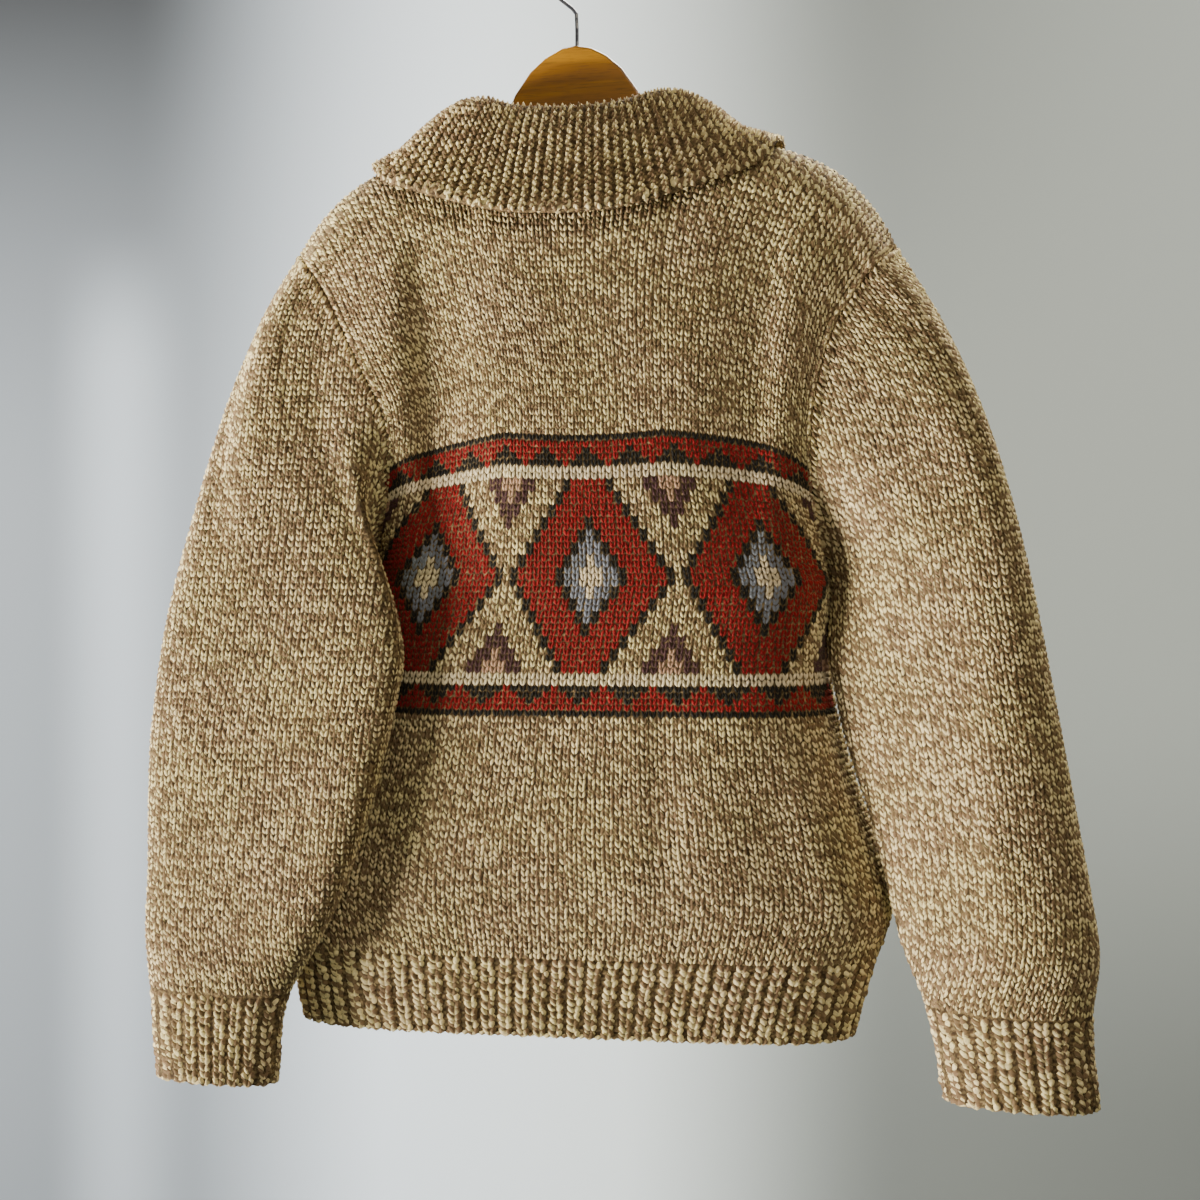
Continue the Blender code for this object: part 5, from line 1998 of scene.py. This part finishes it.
@dataclass
class Band:
    """A ribbed band up one edge of the opening. The left one laps over the right one."""

    side: Side
    flat: tuple[float, float]
    seed: int
    torso: Torso = field(default_factory=Torso)
    gauge: Gauge = field(default_factory=Gauge)
    ribs: int = 3
    lift: float = 0.0021  # off the fronts' surface
    gap: float = 0.0002
    under_share: float = 0.9  # how far the right band reaches under the left one
    sheet_thickness: float = 0.0016

    def surface(self) -> Skin:
        """Points and normals of the band from the hem to the V, with two columns to a rib."""
        torso = self.torso
        half = torso.band_half_width - self.gap
        share = 1.0 if self.side is Side.LEFT else self.under_share
        spots = np.linspace(-half * share, half, 2 * self.ribs + 1)
        levels = torso.levels_at_steps(
            Facing.FRONT, -1.0, torso.v_level, self.gauge.rib_course
        )
        points, normals = [], []
        for level in levels:
            angles = [torso.angle_at(Facing.FRONT, x, level) for x in spots]
            line, ways = torso.skin(Facing.FRONT, np.array(angles), level)
            points.append(line - [0.0, self.side.value * self.lift, 0.0])
            normals.append(ways)
        return np.array(points), np.array(normals)

    def build(self, wardrobe: Wardrobe) -> None:
        """Args:
            wardrobe: The materials to dress it in.
        """
        name = f"band_{self.side.word}"
        points, normals = self.surface()
        sheet = sheet_object(
            f"{name}_cloth", points[:, ::-1], self.sheet_thickness, wardrobe.cloth
        )
        ribs = KnitMesh(f"{name}_rib", self.seed)
        ribs.lay(Lattice.whole(points[:, ::2], normals[:, ::2]), BAND_RIB, RIB_LEAF)
        declare([ribs.build(wardrobe.yarn)], name)


@dataclass
class Collar:
    """The garter-stitch shawl collar: its sheet and the ridges on the side that shows."""

    form: ShawlForm = field(default_factory=ShawlForm)
    sheet_thickness: float = 0.0030
    sheet_skip: int = 2
    stitches_across: int = 22
    edge_reach: float = 0.0016  # of the chain past the sheet's edge
    unevenness: float = 0.7
    flat: tuple[float, float] = (0.115, 0.86)
    area: float = 0.075
    seed: int = 500

    def lattice(self, surface: Skin) -> Lattice:
        """The garter ridges, with one ridge to a wale, from the neck seam to the edge."""
        grid, normals = (part[:, ::2].transpose(1, 0, 2) for part in surface)
        columns = [even_skin(column, self.stitches_across) for column in zip(grid, normals)]
        points, ways = (np.array(part).transpose(1, 0, 2) for part in zip(*columns))
        return Lattice.whole(points, ways)

    def edge(self, surface: Skin) -> Lattice:
        """The chain of loops that ends the collar."""
        grid, normals = surface
        past = grid[-1] + unit(grid[-1] - grid[-2]) * self.edge_reach
        return strip_lattice((grid[-3], past), normals[-1], self.form.ridge_pitch)

    def build(self, wardrobe: Wardrobe) -> None:
        """Args:
            wardrobe: The materials to dress it in.
        """
        surface = self.form.surface()
        skip = self.sheet_skip
        grid = surface[0][::skip, ::skip][:, ::-1]
        sheet = sheet_object("collar_cloth", grid, self.sheet_thickness, wardrobe.cloth)
        ridges = KnitMesh("collar_ridges", self.seed)
        ridges.lay(self.lattice(surface), GARTER, LEAF, unevenness=self.unevenness)
        ridges.lay(self.edge(surface), (EDGE_LOOP,), LEAF)
        piece = ridges.build(wardrobe.yarn)
        declare(
            [piece], "collar",
        )


# ---------------------------------------------------------------- the studio
def aimed(
    name: str, content: bpy.types.ID, place: Place, target: Place
) -> bpy.types.Object:
    """A lamp or a camera that stands at a place and faces a target.

    Args:
        name: Its name.
        content: The lamp's or the camera's data.
        place: Where it stands.
        target: The point that it faces.

    Returns:
        The object, in the scene.
    """
    made = bpy.data.objects.new(name, content)
    made.location = place
    way = Vector(target) - Vector(place)
    made.rotation_euler = way.to_track_quat("-Z", "Y").to_euler()
    bpy.context.scene.collection.objects.link(made)
    return made


@dataclass(frozen=True)
class SoftLight:
    """A soft lamp that faces a point."""

    name: str
    place: Place
    target: Place
    size: tuple[float, float]
    power: float
    tint: tuple[float, float, float]
    spread: float = math.pi

    def build(self) -> None:
        """Adds the lamp, which the camera doesn't see."""
        lamp = bpy.data.lights.new(self.name, "AREA")
        lamp.shape = "RECTANGLE"
        lamp.size, lamp.size_y = self.size
        lamp.energy = self.power
        lamp.color = self.tint
        lamp.spread = self.spread
        aimed(self.name, lamp, self.place, self.target).visible_camera = False


MIDDLE = (0.0177, 0.0, -0.5054)
CHEST = (0.0177, 0.0, -0.35)
LIGHTS = (
    SoftLight("window", (-4.05, -1.48, -1.85), MIDDLE, (1.60, 1.0), 1190.0, (1.0, 0.97, 0.94)),
    SoftLight("room", (1.1, -1.6, 0.8), MIDDLE, (1.8, 1.6), 24.0, (1.0, 0.95, 0.84)),
    SoftLight("front", (0.05, 0.45, 0.30), CHEST, (1.2, 0.6), 12.0, (1.0, 0.97, 0.92), 1.2),
)


@dataclass(frozen=True)
class WallWithPaintedLight:
    """Pale paint with painted light and shade on it: its tone changes with height, and it is
    brightest in a wide upright painted streak of light behind the garment, with a painted glow
    there and a painted bright line at the left.
    It is clear from behind, so that the buttoned front can be seen through the wall."""

    # painted light and shade: the wall's tone by height
    left: Ramp = Ramp(-0.44, 0.42, (0.24, 0.0))  # the tone by height, at the left
    right: Ramp = Ramp(-1.10, -0.58, (0.20, 0.365))
    crossing: Ramp = Ramp(-0.23, 0.80)  # where the left's tone turns into the right's
    # a painted streak of light and a painted glow, upright behind the garment
    streak_x: float = -0.17
    painted_streak: Ramp = Ramp(0.0, 0.45, (0.92, 0.0))  # by distance from its middle
    streak_fade: Ramp = Ramp(-1.10, -0.10, (1.0, 0.72))  # by height
    glow: Ramp = Ramp(0.0, 0.36, (1.0, 0.0))
    glow_strength: float = 0.16
    # a painted bright line at the left
    edge_x: float = -0.63  # a narrow bright line at the left
    edge: Ramp = Ramp(0.0, 0.10, (0.22, 0.0))
    edge_fade: Ramp = Ramp(-0.25, -0.05, (1.0, 0.0))
    brightest: float = 0.95
    left_tint: Colour = (0.875, 0.99, 1.08, 1)
    right_tint: Colour = (0.96, 1.045, 0.96, 1)
    tint_crossing: Ramp = Ramp(-0.5, 0.4)
    roughness: float = 0.9

    def material(self) -> bpy.types.Material:
        """The paint's material, with its painted light and shade."""
        material, wiring, shader = new_finish("backdrop")
        parts = wiring.add("ShaderNodeSeparateXYZ", vector=wiring.place()).outputs
        across, up = parts["X"], parts["Z"]

        def away(centre: float, ramp: Ramp) -> bpy.types.NodeSocket:
            """A tone that changes with the distance from an upright line."""
            offset = wiring.math("ABSOLUTE", wiring.math("SUBTRACT", across, centre))
            return wiring.step(offset, *ramp)

        left, right = wiring.step(up, *self.left), wiring.step(up, *self.right)
        base = wiring.between(wiring.step(across, *self.crossing), left, right)
        low = wiring.step(up, *self.edge_fade)
        edge = wiring.math("MULTIPLY", away(self.edge_x, self.edge), low)
        fade = wiring.step(up, *self.streak_fade)
        painted_streak = wiring.math("MULTIPLY", away(self.streak_x, self.painted_streak), fade)
        # the wall's painted light and shade, added up
        tone = wiring.math("ADD", wiring.math("ADD", base, painted_streak), edge)
        tone = wiring.math("MINIMUM", tone, self.brightest)
        side = wiring.step(across, *self.tint_crossing)
        tint = wiring.mix(side, self.left_tint, self.right_tint)
        behind = wiring.add("ShaderNodeNewGeometry").outputs["Backfacing"]
        wiring.set(
            shader,
            base_color=wiring.times(tint, tone),
            roughness=self.roughness,
            # painted glow: the wall gives off light behind the garment though it is no lamp
            emission_color=away(self.streak_x, self.glow),
            emission_strength=self.glow_strength,
            alpha=wiring.math("SUBTRACT", 1.0, behind),
        )
        return material


@dataclass
class Studio:
    """A pale floor and wall with painted light and shade on them, soft light and the camera."""

    camera_place: Place = (0.1777, -1.1388, -0.5054)
    half_view: float = 0.3965  # half the view's width a metre away from the camera
    sensor: float = 36.0
    floor_z: float = -1.65
    wall_y: float = 0.55
    bend: float = 0.35  # the radius of the curve between the floor and the wall
    floor_length: float = 3.0
    length: float = 6.5  # of floor, bend and wall together
    half_width: float = 3.0
    rows: int = 40
    air: Colour = (1.0, 0.94, 0.82, 1)
    air_strength: float = 0.16
    lights: tuple[SoftLight, ...] = LIGHTS

    def build(self) -> None:
        """Sets the stage."""
        self.backdrop()
        for light in self.lights:
            light.build()
        self.camera()
        world = bpy.data.worlds.new("soft_room")
        world.use_nodes = True
        background = world.node_tree.nodes["Background"]
        Wiring(world.node_tree).set(background, color=self.air, strength=self.air_strength)
        bpy.context.scene.world = world

    def backdrop(self) -> None:
        """A floor that curves up into a wall."""
        bm = bmesh.new()
        bmesh.ops.create_grid(bm, x_segments=2, y_segments=self.rows, size=1.0)
        for vert in bm.verts:
            run = (vert.co.y + 1) / 2 * self.length
            turn = min(max(run - self.floor_length, 0) / self.bend, HALF_PI)
            y = self.wall_y - self.bend * (1 - math.sin(turn)) - max(self.floor_length - run, 0)
            climb = max(run - self.floor_length - self.bend * HALF_PI, 0)
            z = self.bend * (1 - math.cos(turn)) + climb
            vert.co = (vert.co.x * self.half_width, y, self.floor_z + z)
        mesh = bpy.data.meshes.new("backdrop")
        bm.to_mesh(mesh)
        bm.free()
        mesh.shade_smooth()
        mesh.materials.append(WallWithPaintedLight().material())
        made = bpy.data.objects.new("backdrop", mesh)
        bpy.context.scene.collection.objects.link(made)

    def camera(self) -> None:
        """The camera, level with the garment's middle and a little to its right."""
        camera = bpy.data.cameras.new("camera")
        camera.sensor_width = self.sensor
        camera.lens = self.sensor / 2 / self.half_view
        bpy.context.scene.camera = aimed("camera", camera, self.camera_place, MIDDLE)


def body_panels() -> tuple[BodyPanel, ...]:
    """The back and the two fronts."""
    back = BodyPanel(
        "back", Facing.BACK, (Side.LEFT, Side.RIGHT), low_wales=36, high_wales=33, ribs=36,
        flat=(0.47, 0.68), area=0.30, seed=10, chart=Chart(), sheet_columns=90,
    )
    left = BodyPanel(
        "front_left", Facing.FRONT, (Side.LEFT,), low_wales=33, high_wales=30, ribs=16,
        flat=(0.24, 0.67), area=0.14, seed=20,
    )
    right = BodyPanel(
        "front_right", Facing.FRONT, (Side.RIGHT,), low_wales=33, high_wales=30, ribs=16,
        flat=(0.25, 0.67), area=0.145, seed=30,
    )
    return back, left, right


def main() -> None:
    """Builds the garment piece by piece."""
    logging.basicConfig(level=logging.INFO, format="%(message)s")
    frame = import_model()
    wardrobe = Wardrobe()
    knitwear = (
        *body_panels(),
        Sleeve(ARMS[0], flat=(0.45, 0.63), area=0.22, seed=100),
        Sleeve(ARMS[1], flat=(0.45, 0.63), area=0.22, seed=110),
        Band(Side.LEFT, flat=(0.036, 0.50), seed=300),
        Band(Side.RIGHT, flat=(0.034, 0.50), seed=310),
        Collar(),
    )
    for piece in knitwear:
        piece.build(wardrobe)
    buttons = {f"button_{number}": wardrobe.horn for number in range(1, 7)}
    hard_pieces = {"hanger_body": wardrobe.wood, "hook": wardrobe.wire, **buttons}
    for name, material in hard_pieces.items():
        slots = frame["nodes"][name].data.materials
        slots.clear()
        slots.append(material)
    Studio().build()


if __name__ == "__main__":
    main()
